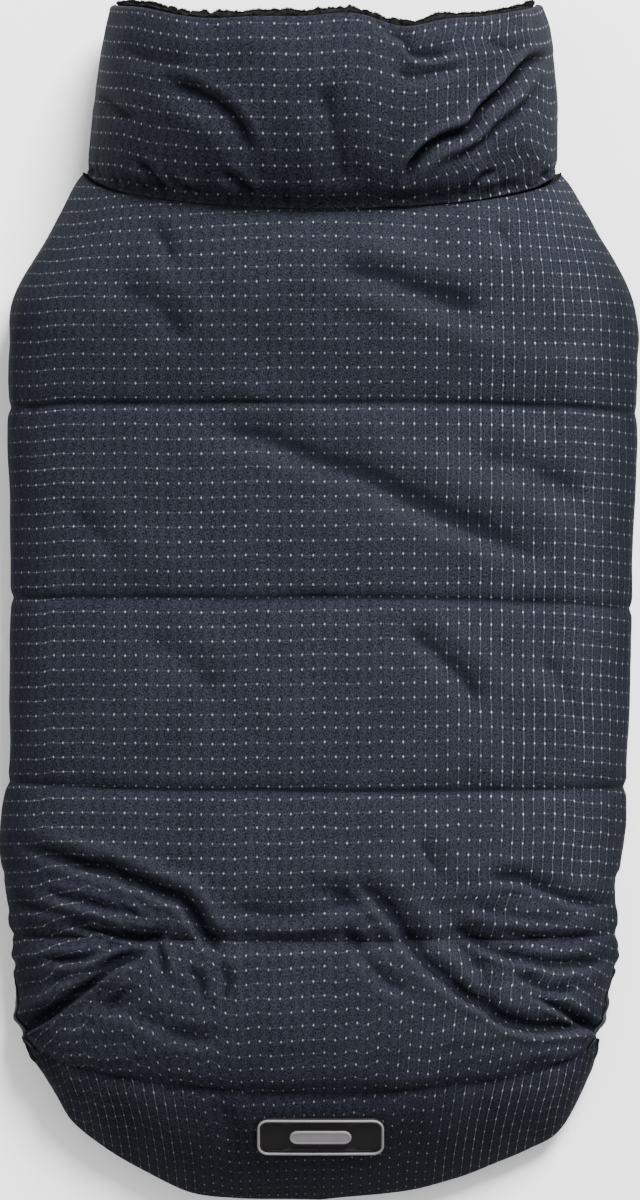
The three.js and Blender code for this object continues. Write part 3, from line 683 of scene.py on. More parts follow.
def threadMaterial():
    # Dark blue sewing thread
    material, tree, shader = newMaterial("sewingThread", {"Roughness": 0.6, "Specular IOR Level": 0.08})
    place = addNode(tree, "ShaderNodeTexCoord", {}, {}, "Object")
    twist = noiseOf(tree, place, 2400.0, 2.0)
    colour = mixColours(tree, twist, (0.0018, 0.0024, 0.0038, 1), (0.0062, 0.0078, 0.0110, 1))
    feed(tree, shader, "Base Color", colour)
    bumpInto(tree, shader, twist, 0.0002, 0.5)
    return material


materials = {
    "shell": shellClothMaterial("shellCloth", 1.0, 1.0, 0.05, 0.0),
    "collar": shellClothMaterial("collarCloth", 0.90, 1.0, 0.05, 0.0),
    "band": shellClothMaterial("hemBandCloth", shellCloth["bandTone"], shellCloth["bandDots"], 0.06, 0.85),
    "pile": pileMaterial(), "plain": plainClothMaterial(),
    "rubber": rubberMaterial(), "silver": silverMaterial(), "thread": threadMaterial(),
}
print("materials made")

# The quilted back
back = {
    "columns": 272, "counts": (46, 42, 42, 52, 54, 26), "crowd": 0.55, "edgeRound": 3.4,
    "neckRound": 0.5, "neckClose": 4.0, "neckDip": 0.9, "neckDipReach": 3.2, "neckSteps": (0.0016, 0.0055),
    "pinch": (0.7, 0.7, 0.8, 1.8, 1.7), "pinchReach": (2.2, 2.2, 2.4, 3.6, 3.8),
    "puckers": 0.55, "puckerReach": 13.0, "ripple": 0.42, "bunchRipple": 0.55, "sideGathers": 0.6,
}


# Fans of small creases: the point they run out from, its bearing and spread in degrees, where they start and
# end, how many degrees lie between them, and their depth
fans = [
    ((-50, -138), 180, 60, (16, 76), 13.0, 1.3), ((26, -132), -8, 36, (34, 90), 9.0, 0.8),
    ((8, -118), -90, 150, (5, 34), 18.0, 0.9),
]


def fanCreases(x, y):
    # Troughs along bearings, spaced by a sine whose phase a slow noise bends. A second noise lets each come
    # and go
    depth = np.zeros_like(x)
    for k, ((fromX, fromY), bearing, spread, (start, end), pitch, deep) in enumerate(fans):
        away = np.hypot(x - fromX, y - fromY)
        turned = (np.degrees(np.arctan2(y - fromY, x - fromX)) - bearing + 180) % 360 - 180
        phase = turned / pitch + 1.0 * softNoise(turned + 0.14 * away, away, pitch * 1.8, 24, 101 + k)
        strength = np.clip(0.5 + 0.9 * softNoise(turned, away, pitch * 1.2, 20, 111 + k), 0, 1)
        within = smoothStep(spread - np.abs(turned), 0, 26) * smoothStep(away, start, start + 12)
        within = within * smoothStep(end - away, 0, 26)
        depth = depth + deep * within * strength * np.exp(-np.abs(np.sin(np.pi * phase)) / 0.42)
    return depth


def channelPlace(channel):
    # The channel that a number falls in, and how far through it
    i = np.clip(np.floor(channel).astype(int), 0, lastChannel - 1)
    return i, channel - i


def quiltPuff(turn, channel):
    # The puff times a power of the sine of how far through its channel a point is, so nothing on a stitched
    # row. The power is softer beside the band's seam, and the puff fades on the sides
    i, f = channelPlace(channel)
    puffs = np.concatenate([quilting[:, 4], [bandPuff]])
    fade = smoothStep(104 - np.abs(turn), 0, 62)
    power = 0.5 + 0.35 * smoothStep(channel, 4.6, 4.9) * smoothStep(5.5 - channel, 0, 0.4)
    return puffs[i] * np.maximum(np.sin(np.pi * f), 0) ** power * (0.06 + 0.94 * fade)


def padWallAt(channel):
    # The wall's thickness: the padding's, stepping smoothly down to the hem band's
    thin = smoothStep(channel, len(quilting), len(quilting) + 0.5)
    return form["padWall"] + (form["hemWall"] - form["padWall"]) * thin


def backLift(turn, channel, base):
    # Every soft rise and fall of the outer cloth, out along the form's normal: the puff and the creases, less
    # a pinch that falls off as a bell curve from each stitched row, plus puckers, ripples and gathers of noise
    x, y = asSeen(base)
    baseX, baseY = base[..., 0], base[..., 1]
    i, f = channelPlace(channel)
    lines = linesAt(turn)
    length = np.abs(np.take_along_axis(lines, i[None], 0)[0] - np.take_along_axis(lines, i[None] + 1, 0)[0])
    toRow = np.minimum(f, 1 - f) * length
    row = np.where(f < 0.5, i, i + 1)
    stitched = (row > 0) & (row < lastChannel)
    over, creased = smoothStep(118 - np.abs(turn), 0, 40), smoothStep(104 - np.abs(turn), 0, 26)
    lift = quiltPuff(turn, channel) + creaseLift(x, y, backCreases) * creased
    depths, reaches = (np.concatenate([[0.0], back[key], [1.0]])[row] for key in ("pinch", "pinchReach"))
    lift = lift - np.where(stitched, depths * np.exp(-((toRow / np.maximum(reaches, 1)) ** 2)), 0)
    side, away = np.sign(turn), np.abs(turn)
    around = side * np.minimum(away, 90) / 90 * 150 + side * np.maximum(away - 90, 0) / 3
    pucker = softNoise(around, row * 31.0, 6.5, 1.0, 11) + 0.6 * softNoise(around, row * 17.0, 3.1, 1.0, 12)
    pucker = back["puckers"] * pucker * np.exp(-toRow / back["puckerReach"] * 2) * (toRow / 3).clip(0, 1)
    lift = lift + np.where(stitched, pucker, 0)
    ripple = softNoise(around + 0.5 * baseY, baseY, 26, 15, 21) + 0.5 * softNoise(around, baseY, 11, 8, 22)
    lift = lift + back["ripple"] * ripple
    # smaller gathers where the cloth bunches towards the rear, and along both underside seams
    bunch = smoothStep(-baseY, 82, 118) * smoothStep(baseY, -200, -172)
    bunch = bunch * (0.35 + 0.65 * smoothStep(np.abs(baseX), 30, 80))
    gathers = softNoise(around * 0.35 + baseY * 0.2, baseY - around * 0.12, 9, 3.6, 31)
    lift = lift + back["bunchRipple"] * bunch * gathers * 1.4 - fanCreases(x, y) * creased
    gathers = softNoise(baseY + around * 0.15, around, 7.5, 60, 41) + 0.6 * softNoise(baseY, around, 3.8, 40, 42)
    gathers = back["sideGathers"] * gathers * smoothStep(away, 84, 130)
    lift = lift + gathers * (0.4 + 0.6 * smoothStep(180 - away, 0, 30))
    # the cloth dips to the neck seam
    toNeck = f * length + 1000 * (i > 0)
    return lift - back["neckDip"] * np.exp(-((toNeck / back["neckDipReach"]) ** 2)) * over


turnLine, channelLine = paddedTurns(back["columns"] + 1), channelSteps(back["counts"], back["crowd"])
channelLine = np.concatenate([[0.0], back["neckSteps"], channelLine[1:]])
turnGrid, channelGrid = np.meshgrid(turnLine, channelLine)
backPoints = backBase(turnGrid, channelGrid)
backNormals = normalsOf(backBase, turnGrid, channelGrid, 0.02, 0.02, 1)
lift = backLift(turnGrid, channelGrid, backPoints)
rowRun = arcFrom(backPoints, 0, 0)
columnRun = arcFrom(backPoints, 1, 0)
toEdge = np.minimum(rowRun[-1] - rowRun, np.minimum(columnRun, columnRun[:, -1:] - columnRun))
round01 = np.clip(np.minimum(toEdge / back["edgeRound"], rowRun / back["neckRound"]), 0, 1)
swell = np.sqrt(1 - (1 - round01) ** 2)
wall = padWallAt(channelGrid)
# the wall closes halfway through its thickness, and at its outer face by the neck seam
close = 0.5 * smoothStep(rowRun, 0, back["neckClose"])
inner = backPoints - backNormals * (wall * (close + (1 - close) * swell)
                                    - creaseLift(*asSeen(backPoints), backCreases) * 0.7 * swell)[..., None]
outer = backPoints + backNormals * (lift * swell - wall * close * (1 - swell))[..., None]
outer[[0, -1]] = inner[[0, -1]]
outer[:, [0, -1]] = inner[:, [0, -1]]
outer[..., 2] = np.maximum(outer[..., 2], form["floorGap"])
inner[..., 2] = np.maximum(inner[..., 2], form["floorGap"])


def clothRun(points, turn, channel):
    # The cloth's own millimetres: along each section from the crown, and along each column from the first row
    flatWay = points.copy()
    flatWay[..., 1] = 0
    u = arcFrom(flatWay, 1, lineAt(turn[0], 0)) * (1 + 0.2 * smoothStep(channel, 4.1, 6))
    v = arcFrom(points, 0, lineAt(channel[:, 0], 1))
    return np.stack([u, -v], -1)


backUv = clothRun(outer, turnGrid, channelGrid)
backPiece = shellMesh("backCloth", outer, inner, backUv,
                      [materials["shell"], materials["band"], materials["pile"]],
                      bandRow=lineAt(channelLine, len(quilting)), hollow=hollowOf(lift) * swell)
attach(backPiece, "root")
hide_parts("back_panel")
print("back made", len(backPiece.data.polygons))

# The standing collar
collar = {
    "rows": 104, "edgeRound": 1.7, "seamRound": 0.3, "seamClose": 0.06, "ripple": 0.35, "flatten": 0.45,
    "seamRidge": 0.4, "seamRidgeAt": 0.6, "seamRidgeWidth": 0.5, "printScale": (1.04, 1.05),
    "groove": 1.5, "grooveAt": 2.8, "grooveWidth": 2.0, "puckers": 0.8, "tuck": 0.3, "tuckReach": 0.3,
    "rimWave": 0.7, "rimWaveFrom": 46.0, "insideShare": 0.85,
}


def collarLift(place, along, base):
    # The collar's folds, its rim's waves, the small pleats that the neck seam pulls and fade as an exponential,
    # and a ridge and a groove beside the seam, each a bell curve
    x, y = asSeen(base)
    over = smoothStep(150 - np.abs(place), 0, 50)
    up = along * form["collarHeight"]
    lift = creaseLift(x, y, collarCreases) * smoothStep(106 - np.abs(place), 0, 44)
    around = np.clip(place, -180, 180) / 180 * 250
    ripple = softNoise(around + 0.6 * up, up, 19, 16, 51) + 0.5 * softNoise(around, up - 0.3 * around, 8, 9, 52)
    lift = lift + collar["ripple"] * ripple
    pleats = softNoise(around, up * 0, 5.0, 1, 53) + 0.7 * softNoise(around + 0.2 * up, up * 0, 2.6, 1, 54)
    lift = lift + collar["puckers"] * pleats * np.exp(-up / 6) * smoothStep(up, 0.6, 2.6)
    rimWave = softNoise(around, up * 0, 14, 1, 55)
    lift = lift + collar["rimWave"] * rimWave * smoothStep(up, collar["rimWaveFrom"], form["collarHeight"])
    ridge = collar["seamRidge"] * np.exp(-(((up - collar["seamRidgeAt"]) / collar["seamRidgeWidth"]) ** 2))
    groove = collar["groove"] * np.exp(-(((up - collar["grooveAt"]) / collar["grooveWidth"]) ** 2))
    uneven = 0.65 + 0.6 * softNoise(around, up * 0, 9.0, 1, 56)
    return lift + (ridge - groove * uneven) * over


overTurns, sideTurns = np.linspace(-108, 108, 361), np.linspace(108, 180, 37)[1:]
placeLine = np.concatenate([-sideTurns[::-1], overTurns, sideTurns, np.linspace(180, 220, 25)[1:]])
alongLine = np.linspace(1, 0, collar["rows"] + 1)
alongLine = alongLine - 0.55 * np.sin(2 * np.pi * alongLine) / (2 * np.pi)
placeGrid, alongGrid = np.meshgrid(placeLine, alongLine)


def ringPoints(along):
    # Points and normals of the collar's plain form over the whole ring, which closes on itself
    points = collarBase(placeGrid[: along.shape[0]], along)
    points[:, -1] = points[:, 0]
    normals = normalsOf(collarBase, placeGrid[: along.shape[0]], along, 0.02, 0.004, -1)
    flat = placeGrid[: along.shape[0]] >= 180
    normals[flat] = (0, 0, -1)
    normals[:, 0] = normals[:, -1] = (0, 0, -1)
    return points, normals


collarPoints, collarNormals = ringPoints(alongGrid)
lift = collarLift(placeGrid, alongGrid, collarPoints)
lift[:, -1] = lift[:, 0]
rim = np.minimum((1 - alongGrid) / collar["edgeRound"], alongGrid / collar["seamRound"]) * form["collarHeight"]
swell = np.sqrt(1 - (1 - np.clip(rim, 0, 1)) ** 2)
wall = form["collarWall"]
close = 0.5 * smoothStep(alongGrid, 0, collar["seamClose"])
held = np.where(alongGrid > 0.5, 0.3 + 0.7 * swell, swell)
# the seam's edge is tucked just under the back's
tuck = collar["tuck"] * np.exp(-alongGrid * form["collarHeight"] / collar["tuckReach"])
inward = wall * (close + (1 - close) * swell) + tuck - lift * collar["insideShare"] * held
inner = collarPoints - collarNormals * inward[..., None]
outer = collarPoints + collarNormals * (lift * held - wall * close * (1 - swell) - tuck)[..., None]
outer[[0, -1]] = inner[[0, -1]]
outer[..., 2] = np.maximum(outer[..., 2], form["floorGap"])
flatWay, rowWay = outer.copy(), outer.copy()
flatWay[..., 1] = 0
rowWay[..., 2] *= collar["flatten"]
u = arcFrom(flatWay, 1, lineAt(placeLine, 0)) / collar["printScale"][0]
v = arcFrom(rowWay, 0, 0) / collar["printScale"][1]
collarPiece = shellMesh("collarCloth", outer, inner, np.stack([u + 1.1, -v + 0.6], -1),
                        [materials["collar"], materials["pile"]], wrap=True, hollow=hollowOf(lift) * swell)
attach(collarPiece, "root")
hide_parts("collar")
print("collar made")

# The pile that shows at the collar's rim and along the rear hem
pile = {
    "lump": 0.45, "round": 1.5, "reach": 9.0, "tuftLength": 0.95, "tuftWidth": 0.22, "tuftDepth": 3.0,
    "rimTufts": 9000, "hemTufts": 6000, "seed": 8,
}


def pileShell(name, points, normals, fromEdge, lift, thick, extend, bulge, columnsWrap):
    # A soft strip behind the cloth's edge, lumpy like pile: it stands out past the edge by its reach and its
    # lumps, which fade smoothly away from the edge, and bulges over it
    away = points[0] - points[2]
    away = away / np.maximum(np.linalg.norm(away, axis=-1, keepdims=True), 1e-9)
    lumps = softNoise(points[..., 0] + points[..., 2], points[..., 1], 2.1, 2.0, 61)
    lumps = lumps + 0.7 * softNoise(points[..., 0] - points[..., 2], points[..., 1], 1.1, 1.1, 62)
    clumps = softNoise(points[..., 0] + points[..., 2], points[..., 1] * 0.2, 4.4, 4.0, 63)
    near = smoothStep(pile["reach"] - fromEdge, 0, pile["reach"])
    past = (extend * (1 + 0.3 * clumps) + 0.35 * lumps) * near
    points = points + away[None] * past[..., None]
    over = bulge * smoothStep(past - fromEdge, 0, 1.0)
    swell = np.sqrt(1 - (1 - np.clip(fromEdge / pile["round"], 0, 1)) ** 2)
    outerDepth = lift - over + thick * (1 - swell) / 2 - pile["lump"] * lumps * near * 0.5
    innerDepth = lift + thick * (1 + swell) / 2 + pile["lump"] * lumps
    outerSide = points - normals * outerDepth[..., None]
    innerSide = points - normals * innerDepth[..., None]
    innerSide[0] = outerSide[0]
    innerSide[-1] = outerSide[-1]
    if columnsWrap:
        outerSide[:, -1], innerSide[:, -1] = outerSide[:, 0], innerSide[:, 0]
    else:
        innerSide[:, [0, -1]] = outerSide[:, [0, -1]]
    uv = np.stack([points[..., 0], points[..., 1]], -1)
    return shellMesh(name, outerSide, innerSide, uv, [materials["pile"]], wrap=columnsWrap), outerSide, away


def tufts(name, roots, ways, lengths, widths, sides=3):
    # Thin curved cones: each has two rings of points round its path and one point at its end
    count = len(roots)
    random = np.random.default_rng(pile["seed"] + count)
    cross = np.cross(ways, random.normal(size=(count, 3)))
    cross = cross / np.linalg.norm(cross, axis=1, keepdims=True)
    other = np.cross(ways, cross)
    bend = cross * random.uniform(-0.55, 0.55, (count, 1)) + other * random.uniform(-0.55, 0.55, (count, 1))
    angle = 2 * np.pi * np.arange(sides) / sides
    ring = cross[:, None] * np.cos(angle)[None, :, None] + other[:, None] * np.sin(angle)[None, :, None]
    middle = roots + (ways * 0.55 + bend * 0.25) * lengths[:, None]
    tip = roots + (ways + bend) * lengths[:, None]
    low = roots[:, None] + ring * widths[:, None, None]
    high = middle[:, None] + ring * widths[:, None, None] * 0.7
    points = np.concatenate([low, high, tip[:, None]], 1)
    first = (np.arange(count) * (2 * sides + 1))[:, None]
    k = np.arange(sides)
    n = (k + 1) % sides
    quads = np.stack([k, n, n + sides, k + sides], -1)[None] + first[..., None]
    caps = np.stack([k + sides, n + sides, np.full(sides, 2 * sides)], -1)[None] + first[..., None]
    base = np.arange(sides)[::-1][None] + first
    faces = [quads.reshape(-1, 4), caps.reshape(-1, 3), base.reshape(-1, sides)]
    return meshFrom(name, points.reshape(-1, 3), faces, None, [materials["pile"]])


def scatterTufts(name, edge, edgeWay, normals, count, depth):
    # Tufts rooted at random along an edge and over the strip's thickness, leaning out past the edge
    random = np.random.default_rng(pile["seed"])
    at = random.uniform(0, len(edge) - 1.001, count)
    i, f = at.astype(int), (at % 1)[:, None]
    root = edge[i] * (1 - f) + edge[i + 1] * f
    way, normal = edgeWay[i], normals[i]
    inward = random.uniform(0, 1, (count, 1)) ** 1.3 * depth
    root = root - normal * inward - way * 0.5
    lean = way + normal * random.uniform(-0.75, 0.45, (count, 1)) + random.normal(0, 0.35, (count, 3))
    lean = lean / np.linalg.norm(lean, axis=1, keepdims=True)
    lengths = pile["tuftLength"] * random.uniform(0.45, 1.25, count)
    return tufts(name, root, lean, lengths, pile["tuftWidth"] * random.uniform(0.7, 1.5, count))


liningAlong = 1 - 0.6 * np.linspace(0, 1, 45) ** 1.8
placeGrid = np.repeat(placeLine[None], len(liningAlong), 0)
liningGrid = np.repeat(liningAlong[:, None], len(placeLine), 1)
points, normals = ringPoints(liningGrid)
liningLift = collarLift(placeGrid, liningGrid, points)
liningLift[:, -1] = liningLift[:, 0]
points = points + normals * (liningLift * collar["insideShare"])[..., None]
# the pile stands out furthest over the crown, and least at the rim's two turns
rimTurn = np.exp(-(((np.abs(placeGrid) - 84) / 9) ** 2))
rimReach = form["pileShows"] + 0.2 + 1.0 * leanShare(placeGrid) - 1.1 * rimTurn
fromRim = (1 - liningGrid) * form["collarHeight"]
rimPile, rimEdge, rimWay = pileShell("collarPile", points, normals, fromRim, form["collarWall"] + 0.1,
                                     form["pile"], rimReach, 1.6, True)
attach(rimPile, "root")
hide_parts("collar_lining")
rimTufts = scatterTufts("collarPileTufts", rimEdge[0] + normals[0] * 1.2, rimWay, normals[0],
                        pile["rimTufts"], pile["tuftDepth"])
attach(rimTufts, "root")

hemTurn = turnLine[(np.abs(turnLine) < 89)]
hemTurn = hemTurn[: len(hemTurn) // 2 * 2 - 1]
hemChannel = 6 - 0.5 * np.linspace(0, 1, 29) ** 1.6
hemTurnGrid, hemChannelGrid = np.meshgrid(hemTurn, hemChannel)
points = backBase(hemTurnGrid, hemChannelGrid)
normals = normalsOf(backBase, hemTurnGrid, np.minimum(hemChannelGrid, 5.98), 0.02, 0.02, 1)
bandLines = linesAt(hemTurn)
fromHem = (6 - hemChannelGrid) * (bandLines[5] - bandLines[6])
hemReach = form["pileShows"] + 0.2 + 1.6 * np.sin(np.radians(hemTurnGrid)) ** 2
hemPile, hemEdge, hemWay = pileShell("hemPile", points, normals, fromHem, form["hemWall"] - 0.2,
                                     form["pile"], hemReach, 0.5, False)
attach(hemPile, "root")
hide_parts("hem_lining")
hemTufts = scatterTufts("hemPileTufts", hemEdge[0] + normals[0] * 0.8, hemWay, normals[0],
                        pile["hemTufts"], pile["tuftDepth"])
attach(hemTufts, "root")
print("pile made")

# The underside panel, from the solid's own outline: remeshed, rounded at its edges and a little uneven
belly = {"voxel": 0.0021, "smooth": 9, "ripple": 0.35}


def bellyPanel():
    # The solid's outline as one surface, remeshed in cubes and smoothed, then raised by a slow noise that is
    # weaker at its underside
    work = bmesh.new()
    work.from_mesh(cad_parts["belly_panel"].data)
    bmesh.ops.remove_doubles(work, verts=work.verts, dist=1e-6)
    mesh = bpy.data.meshes.new("bellyCloth")
    work.to_mesh(mesh)
    work.free()
    piece = bpy.data.objects.new("bellyCloth", mesh)
    bpy.context.scene.collection.objects.link(piece)
    remesh = piece.modifiers.new("remesh", "REMESH")
    remesh.mode, remesh.voxel_size = "VOXEL", belly["voxel"]
    soften = piece.modifiers.new("soften", "SMOOTH")
    soften.factor, soften.iterations = 0.5, belly["smooth"]
    bpy.context.view_layer.update()
    evaluated = piece.evaluated_get(bpy.context.evaluated_depsgraph_get())
    shaped = bpy.data.meshes.new_from_object(evaluated)
    piece.modifiers.clear()
    piece.data = shaped
    points = np.zeros(len(shaped.vertices) * 3)
    shaped.vertices.foreach_get("co", points)
    points = points.reshape(-1, 3) * 1000
    x, y, z = points.T
    rough = softNoise(x, y, 24, 17, 71) + 0.5 * softNoise(x + 0.4 * y, y, 9, 9, 72)
    top = smoothStep(z, 0.5, 5.5)
    points[:, 2] = np.maximum(z + belly["ripple"] * rough * (0.25 + 0.75 * top) + 0.12, 0.03)
    shaped.vertices.foreach_set("co", (points / 1000).ravel())
    layer = shaped.uv_layers.new(name="clothMm")
    order = np.zeros(len(shaped.loops), np.int64)
    shaped.loops.foreach_get("vertex_index", order)
    layer.data.foreach_set("uv", points[:, :2][order].astype(np.float32).ravel())
    shaped.materials.clear()
    shaped.materials.append(materials["plain"])
    shaped.polygons.foreach_set("use_smooth", np.ones(len(shaped.polygons), bool))
    shaped.update()
    return piece


bellyPiece = bellyPanel()
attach(bellyPiece, "root")
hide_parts("belly_panel")
print("belly made", len(bellyPiece.data.polygons))

# The smooth strips beside the rear corners
gusset = {"top": 4.34, "bottom": 5.04, "narrow": 90, "wide": 73, "under": 140, "lift": 0.08, "thick": 0.55}


def outerSurface(turn, channel, lift):
    # The back's plain form, out along its normal by the cloth's own lift and a height more
    base = backBase(turn, channel)
    n = normalsOf(backBase, turn, channel, 0.02, 0.02, 1)
    return base + n * (backLift(turn, channel, base) + lift)[..., None]


def gussetPiece(side):
    # A strip whose front edge slants: it starts at the widest point and reaches further over the back below
    down, over = np.meshgrid(np.linspace(0, 1, 41), np.linspace(0, 1, 29), indexing="ij")
    start = gusset["narrow"] + (gusset["wide"] - gusset["narrow"]) * down ** 0.8
    turn = side * (start + (gusset["under"] - start) * over)
    channel = gusset["top"] + (gusset["bottom"] - gusset["top"]) * down
    if side < 0:
        turn, channel = turn[:, ::-1], channel[:, ::-1]
    edge = np.minimum(np.minimum(down, 1 - down) * 26, np.minimum(over, 1 - over) * 18)
    if side < 0:
        edge = edge[:, ::-1]
    swell = np.sqrt(1 - (1 - np.clip(edge / 1.6, 0, 1)) ** 2)
    soft = 0.35 * softNoise(channel * 60, turn, 9, 16, 81 + side)
    top = outerSurface(turn, channel, gusset["lift"] + gusset["thick"] * (0.5 + 0.5 * swell) + soft * swell)
    low = outerSurface(turn, channel, gusset["lift"] + gusset["thick"] * (0.5 - 0.5 * swell))
    low[[0, -1]], low[:, [0, -1]] = top[[0, -1]], top[:, [0, -1]]
    top[..., 2] = np.maximum(top[..., 2], 0.1)
    uv = np.stack([np.abs(turn), channel * 50], -1)
    name = "cornerStripLeft" if side < 0 else "cornerStripRight"
    piece = shellMesh(name, top, low, uv, [materials["plain"]])
    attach(piece, "root")
    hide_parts("side_gusset_left" if side < 0 else "side_gusset_right")
    return piece


gussets = [gussetPiece(-1), gussetPiece(1)]
print("corner strips made")

# The moulded label on the hem band
label = {
    "x": 0.6, "y": -208.3, "halfWidth": 25.0, "halfHeight": 8.9, "corner": 4.6, "thick": 1.2, "lift": 0.25,
    "rimWidth": 1.0, "rimRise": 0.7, "barWidth": 12.0, "barHeight": 3.1, "barRise": 0.7,
}


def placeOnBack(x, y):
    # The turn and channel of the hem band under points seen from above, by a few rounds of correction
    turn, channel = np.zeros_like(x), np.full_like(x, 5.5)
    plain = np.concatenate([[form["neckSide"]], quilting[:, 0], [form["rearCorner"]]])
    for _ in range(14):
        lines = linesAt(turn)
        channel = np.clip(5 + (lines[5] - y) / (lines[5] - lines[6]), 5.0, 5.99)
        sideY = np.interp(channel, np.arange(lastChannel + 1), plain)
        half = np.where(x < 0, curveAt(outline, 1, sideY), curveAt(outline, 2, sideY))
        turn = np.degrees(np.arcsin(np.clip(x / half, -0.99, 0.99)))
    return turn, channel


def onBand(u, v, lift):
    # A point of the label, by its place on it and its height over the cloth
    turn, channel = placeOnBack(np.array([[label["x"]]]), np.array([[label["y"]]]))
    slope = normalsOf(backBase, turn, channel, 0.02, 0.02, 1)[0, 0, 2]
    turn, channel = placeOnBack(label["x"] + u, label["y"] + v * slope)
    base = backBase(turn, channel)
    n = normalsOf(backBase, turn, channel, 0.02, 0.02, 1)
    return base + n * (quiltPuff(turn, channel) + lift)[..., None]


def roundedLoop(halfWidth, halfHeight, corner, count):
    # A rectangle with round corners, as evenly spaced points counted anticlockwise from the right
    arc = np.linspace(0, np.pi / 2, 24)
    centres = [(1, 1, 0), (-1, 1, 1), (-1, -1, 2), (1, -1, 3)]
    loop = np.concatenate([np.column_stack([
        sx * (halfWidth - corner) + corner * np.cos(arc + q * np.pi / 2),
        sy * (halfHeight - corner) + corner * np.sin(arc + q * np.pi / 2)]) for sx, sy, q in centres])
    loop = np.concatenate([loop, loop[:1]])
    run = np.concatenate([[0], np.cumsum(np.hypot(*np.diff(loop, axis=0).T))])
    at = np.linspace(0, run[-1], count + 1)[:-1]
    return np.column_stack([np.interp(at, run, loop[:, 0]), np.interp(at, run, loop[:, 1])])


def mouldedPlate(name, loop, profile, material, nodes):
    # Rings of the outline, each drawn in by a distance, or shrunk by a share, and raised by a height. A plate
    # is closed above and below by its smallest rings, and a bead by joining its last ring to its first
    count = len(loop)
    edge = np.roll(loop, -1, 0) - np.roll(loop, 1, 0)
    inwardWay = np.column_stack([-edge[:, 1], edge[:, 0]])
    inwardWay = inwardWay / np.linalg.norm(inwardWay, axis=1, keepdims=True)
    rings = []
    for inset, height in profile:
        if isinstance(inset, tuple):
            flat = loop * inset[0]
        else:
            flat = loop + inwardWay * inset
        rings.append(onBand(flat[:, 0], flat[:, 1], np.full(count, height)))
    points = np.stack(rings)
    index = np.arange(points.shape[0] * count).reshape(points.shape[0], count)
    index = np.column_stack([index, index[:, 0]])
    quads = np.stack([index[:-1, :-1], index[:-1, 1:], index[1:, 1:], index[1:, :-1]], -1).reshape(-1, 4)
    if isinstance(profile[-1][0], tuple):
        faces = [quads, index[-1:, :-1], index[:1, :-1][:, ::-1]]
    else:
        last = np.stack([index[-1, :-1], index[-1, 1:], index[0, 1:], index[0, :-1]], -1)
        faces = [quads, last]
    piece = meshFrom(name, points.reshape(-1, 3), faces, None, [material])
    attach(piece, "root")
    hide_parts(nodes)
    return piece


low, top = label["lift"], label["lift"] + label["thick"]
plate = [((0.5,), low), ((0.97,), low), (0.25, low), (0.0, low + 0.3), (0.0, top - 0.35), (0.12, top - 0.12),
         (0.35, top), (1.9, top), (2.1, top - 0.25), (2.4, top - 0.3), ((0.75,), top - 0.3), ((0.5,), top - 0.3),
         ((0.25,), top - 0.3), ((0.05,), top - 0.3)]
labelLoop = roundedLoop(label["halfWidth"], label["halfHeight"], label["corner"], 120)
labelPiece = mouldedPlate("labelPlate", labelLoop, plate, materials["rubber"], "label")
arc = np.linspace(0, np.pi, 9)
middle, halfRim = 0.4 + label["rimWidth"] / 2, label["rimWidth"] / 2
bead = [(middle - halfRim * math.cos(a), top - 0.05 + label["rimRise"] * math.sin(a)) for a in arc]
rimPiece = mouldedPlate("labelRim", labelLoop, bead, materials["silver"], "label_rim")
barLoop = roundedLoop(label["barWidth"], label["barHeight"], label["barHeight"] * 0.98, 96)
barLow = top - 0.3
bar = [(0.0, barLow - 0.05), (0.0, barLow + 0.35), (0.18, barLow + 0.55), (0.5, barLow + label["barRise"]),
       (0.85, barLow + label["barRise"]), (1.0, barLow + 0.5), (1.25, barLow + 0.5),
       ((0.5,), barLow + 0.52), ((0.1,), barLow + 0.52)]
barPiece = mouldedPlate("labelBar", barLoop, bar, materials["silver"], "label_bar")
print("label made")

# Stitches along the rows of quilting
stitch = {"length": 2.7, "pitch": 3.5, "radius": 0.24, "sink": 0.15, "seed": 5}


def stitchesAlong(name, path, normals, sides=6):
    # Capsules laid one after another along a path: five rings of points each, closed by flat ends
    run = np.concatenate([[0], np.cumsum(np.linalg.norm(np.diff(path, axis=0), axis=1))])
    starts = np.arange(1.0, run[-1] - stitch["length"], stitch["pitch"])
    random = np.random.default_rng(stitch["seed"])
    at = lambda s: np.column_stack([np.interp(s, run, path[:, k]) for k in range(3)])
    up = np.column_stack([np.interp(starts, run, normals[:, k]) for k in range(3)])
    first, last = at(starts), at(starts + stitch["length"])
    way = last - first
    way = way / np.linalg.norm(way, axis=1, keepdims=True)
    side = np.cross(way, up)
    side = side / np.linalg.norm(side, axis=1, keepdims=True)
    up = np.cross(side, way)
    last = last + side * random.normal(0, 0.12, (len(starts), 1))
    shares = [
        (0.0, 0.25, -0.8), (0.08, 0.85, -0.15), (0.5, 1.0, 0.25), (0.92, 0.85, -0.15), (1.0, 0.25, -0.8)]
    angle = 2 * np.pi * np.arange(sides) / sides
    ring = up[:, None] * np.sin(angle)[None, :, None] - side[:, None] * np.cos(angle)[None, :, None]
    rings = []
    for share, width, height in shares:
        centre = first + (last - first) * share + up * (height * stitch["radius"] * 1.6 - stitch["sink"])
        rings.append(centre[:, None] + ring * stitch["radius"] * width)
    points = np.stack(rings, 1)
    count = len(starts)
    index = np.arange(count * len(shares) * sides).reshape(count, len(shares), sides)
    turned = np.roll(index, -1, 2)
    quads = np.stack([index[:, :-1], turned[:, :-1], turned[:, 1:], index[:, 1:]], -1).reshape(-1, 4)
    faces = [quads, index[:, 0, ::-1], index[:, -1]]
    piece = meshFrom(name, points.reshape(-1, 3), faces, None, [materials["thread"]])
    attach(piece, "root")
    return piece


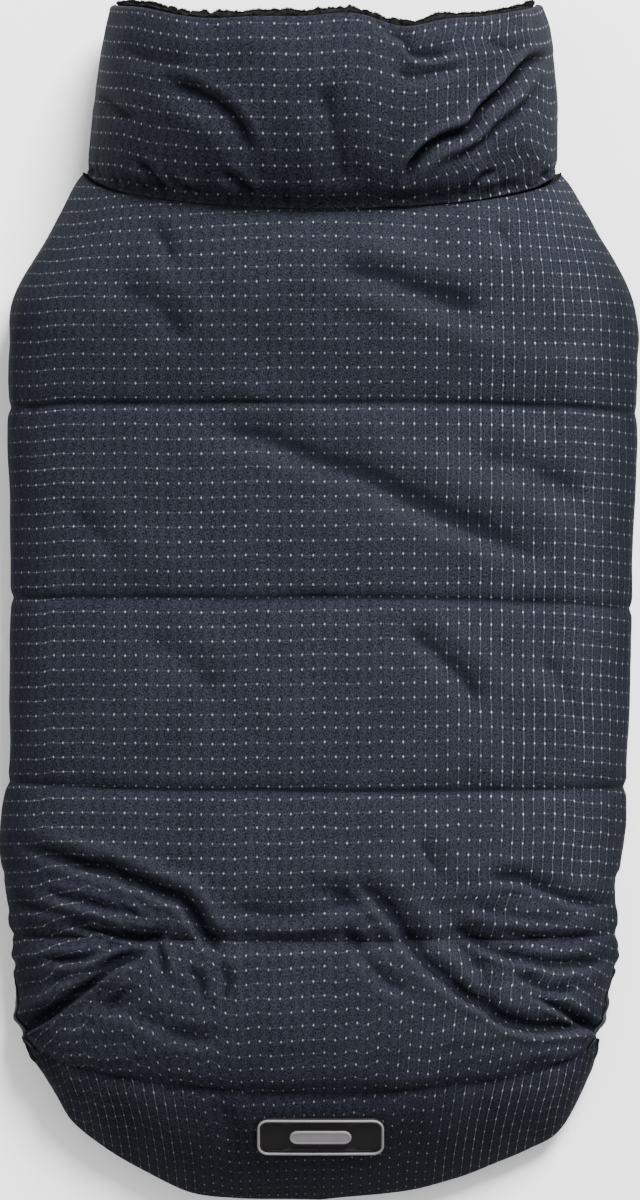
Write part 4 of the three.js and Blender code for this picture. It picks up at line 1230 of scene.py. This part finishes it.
for number in range(1, lastChannel):
    turns = np.linspace(-118, 118, 400)[None]
    channel = np.full_like(turns, float(number))
    rowPath = outerSurface(turns, channel, 0.0)[0]
    rowNormals = normalsOf(backBase, turns, channel, 0.02, 0.02, 1)[0]
    stitchesAlong("quiltStitches%d" % number, rowPath, rowNormals)
print("stitches made")

# The floor, the light and the camera
scenery = {"floorHalf": 6.0, "eyeHeight": 1.9, "lens": 142.5, "key": 226.0, "fill": 8.0, "world": 1.0}


def paleFloor():
    mesh = bpy.data.meshes.new("paleFloor")
    h = scenery["floorHalf"]
    mesh.from_pydata([(-h, -h, 0), (h, -h, 0), (h, h, 0), (-h, h, 0)], [], [(0, 1, 2, 3)])
    material, tree, shader = newMaterial("palePaper", {"Roughness": 0.9})
    place = addNode(tree, "ShaderNodeTexCoord", {}, {}, "Object")
    feed(tree, shader, "Base Color", mixColours(
        tree, noiseOf(tree, place, 6.0), (0.90, 0.90, 0.90, 1), (0.93, 0.93, 0.93, 1)))
    mesh.materials.append(material)
    floor = bpy.data.objects.new("paleFloor", mesh)
    bpy.context.scene.collection.objects.link(floor)


def softLight(name, place, target, size, power):
    data = bpy.data.lights.new(name, "AREA")
    data.shape, data.size, data.energy = "DISK", size, power
    light = bpy.data.objects.new(name, data)
    light.location = place
    light.rotation_euler = (Vector(target) - Vector(place)).to_track_quat("-Z", "Y").to_euler()
    bpy.context.scene.collection.objects.link(light)


paleFloor()
softLight("keyLight", (0.75, 1.65, 1.75), (0, 0, 0.05), 1.0, scenery["key"])
softLight("fillLight", (-1.8, 0.2, 2.0), (0, 0, 0.05), 2.2, scenery["fill"])
world = bpy.data.worlds.new("paleRoom")
world.use_nodes = True
world.node_tree.nodes["Background"].inputs[0].default_value = (1.0, 1.0, 1.0, 1)
world.node_tree.nodes["Background"].inputs[1].default_value = scenery["world"]
bpy.context.scene.world = world
cameraData = bpy.data.cameras.new("camera")
cameraData.lens, cameraData.sensor_width = scenery["lens"], 36.0
cameraData.clip_start, cameraData.clip_end = 0.05, 50.0
camera = bpy.data.objects.new("camera", cameraData)
camera.location = (
    (form["eye"][0] + form["shift"][0]) / 1000, (form["eye"][1] + form["shift"][1]) / 1000,
    scenery["eyeHeight"])
bpy.context.scene.collection.objects.link(camera)
bpy.context.scene.camera = camera
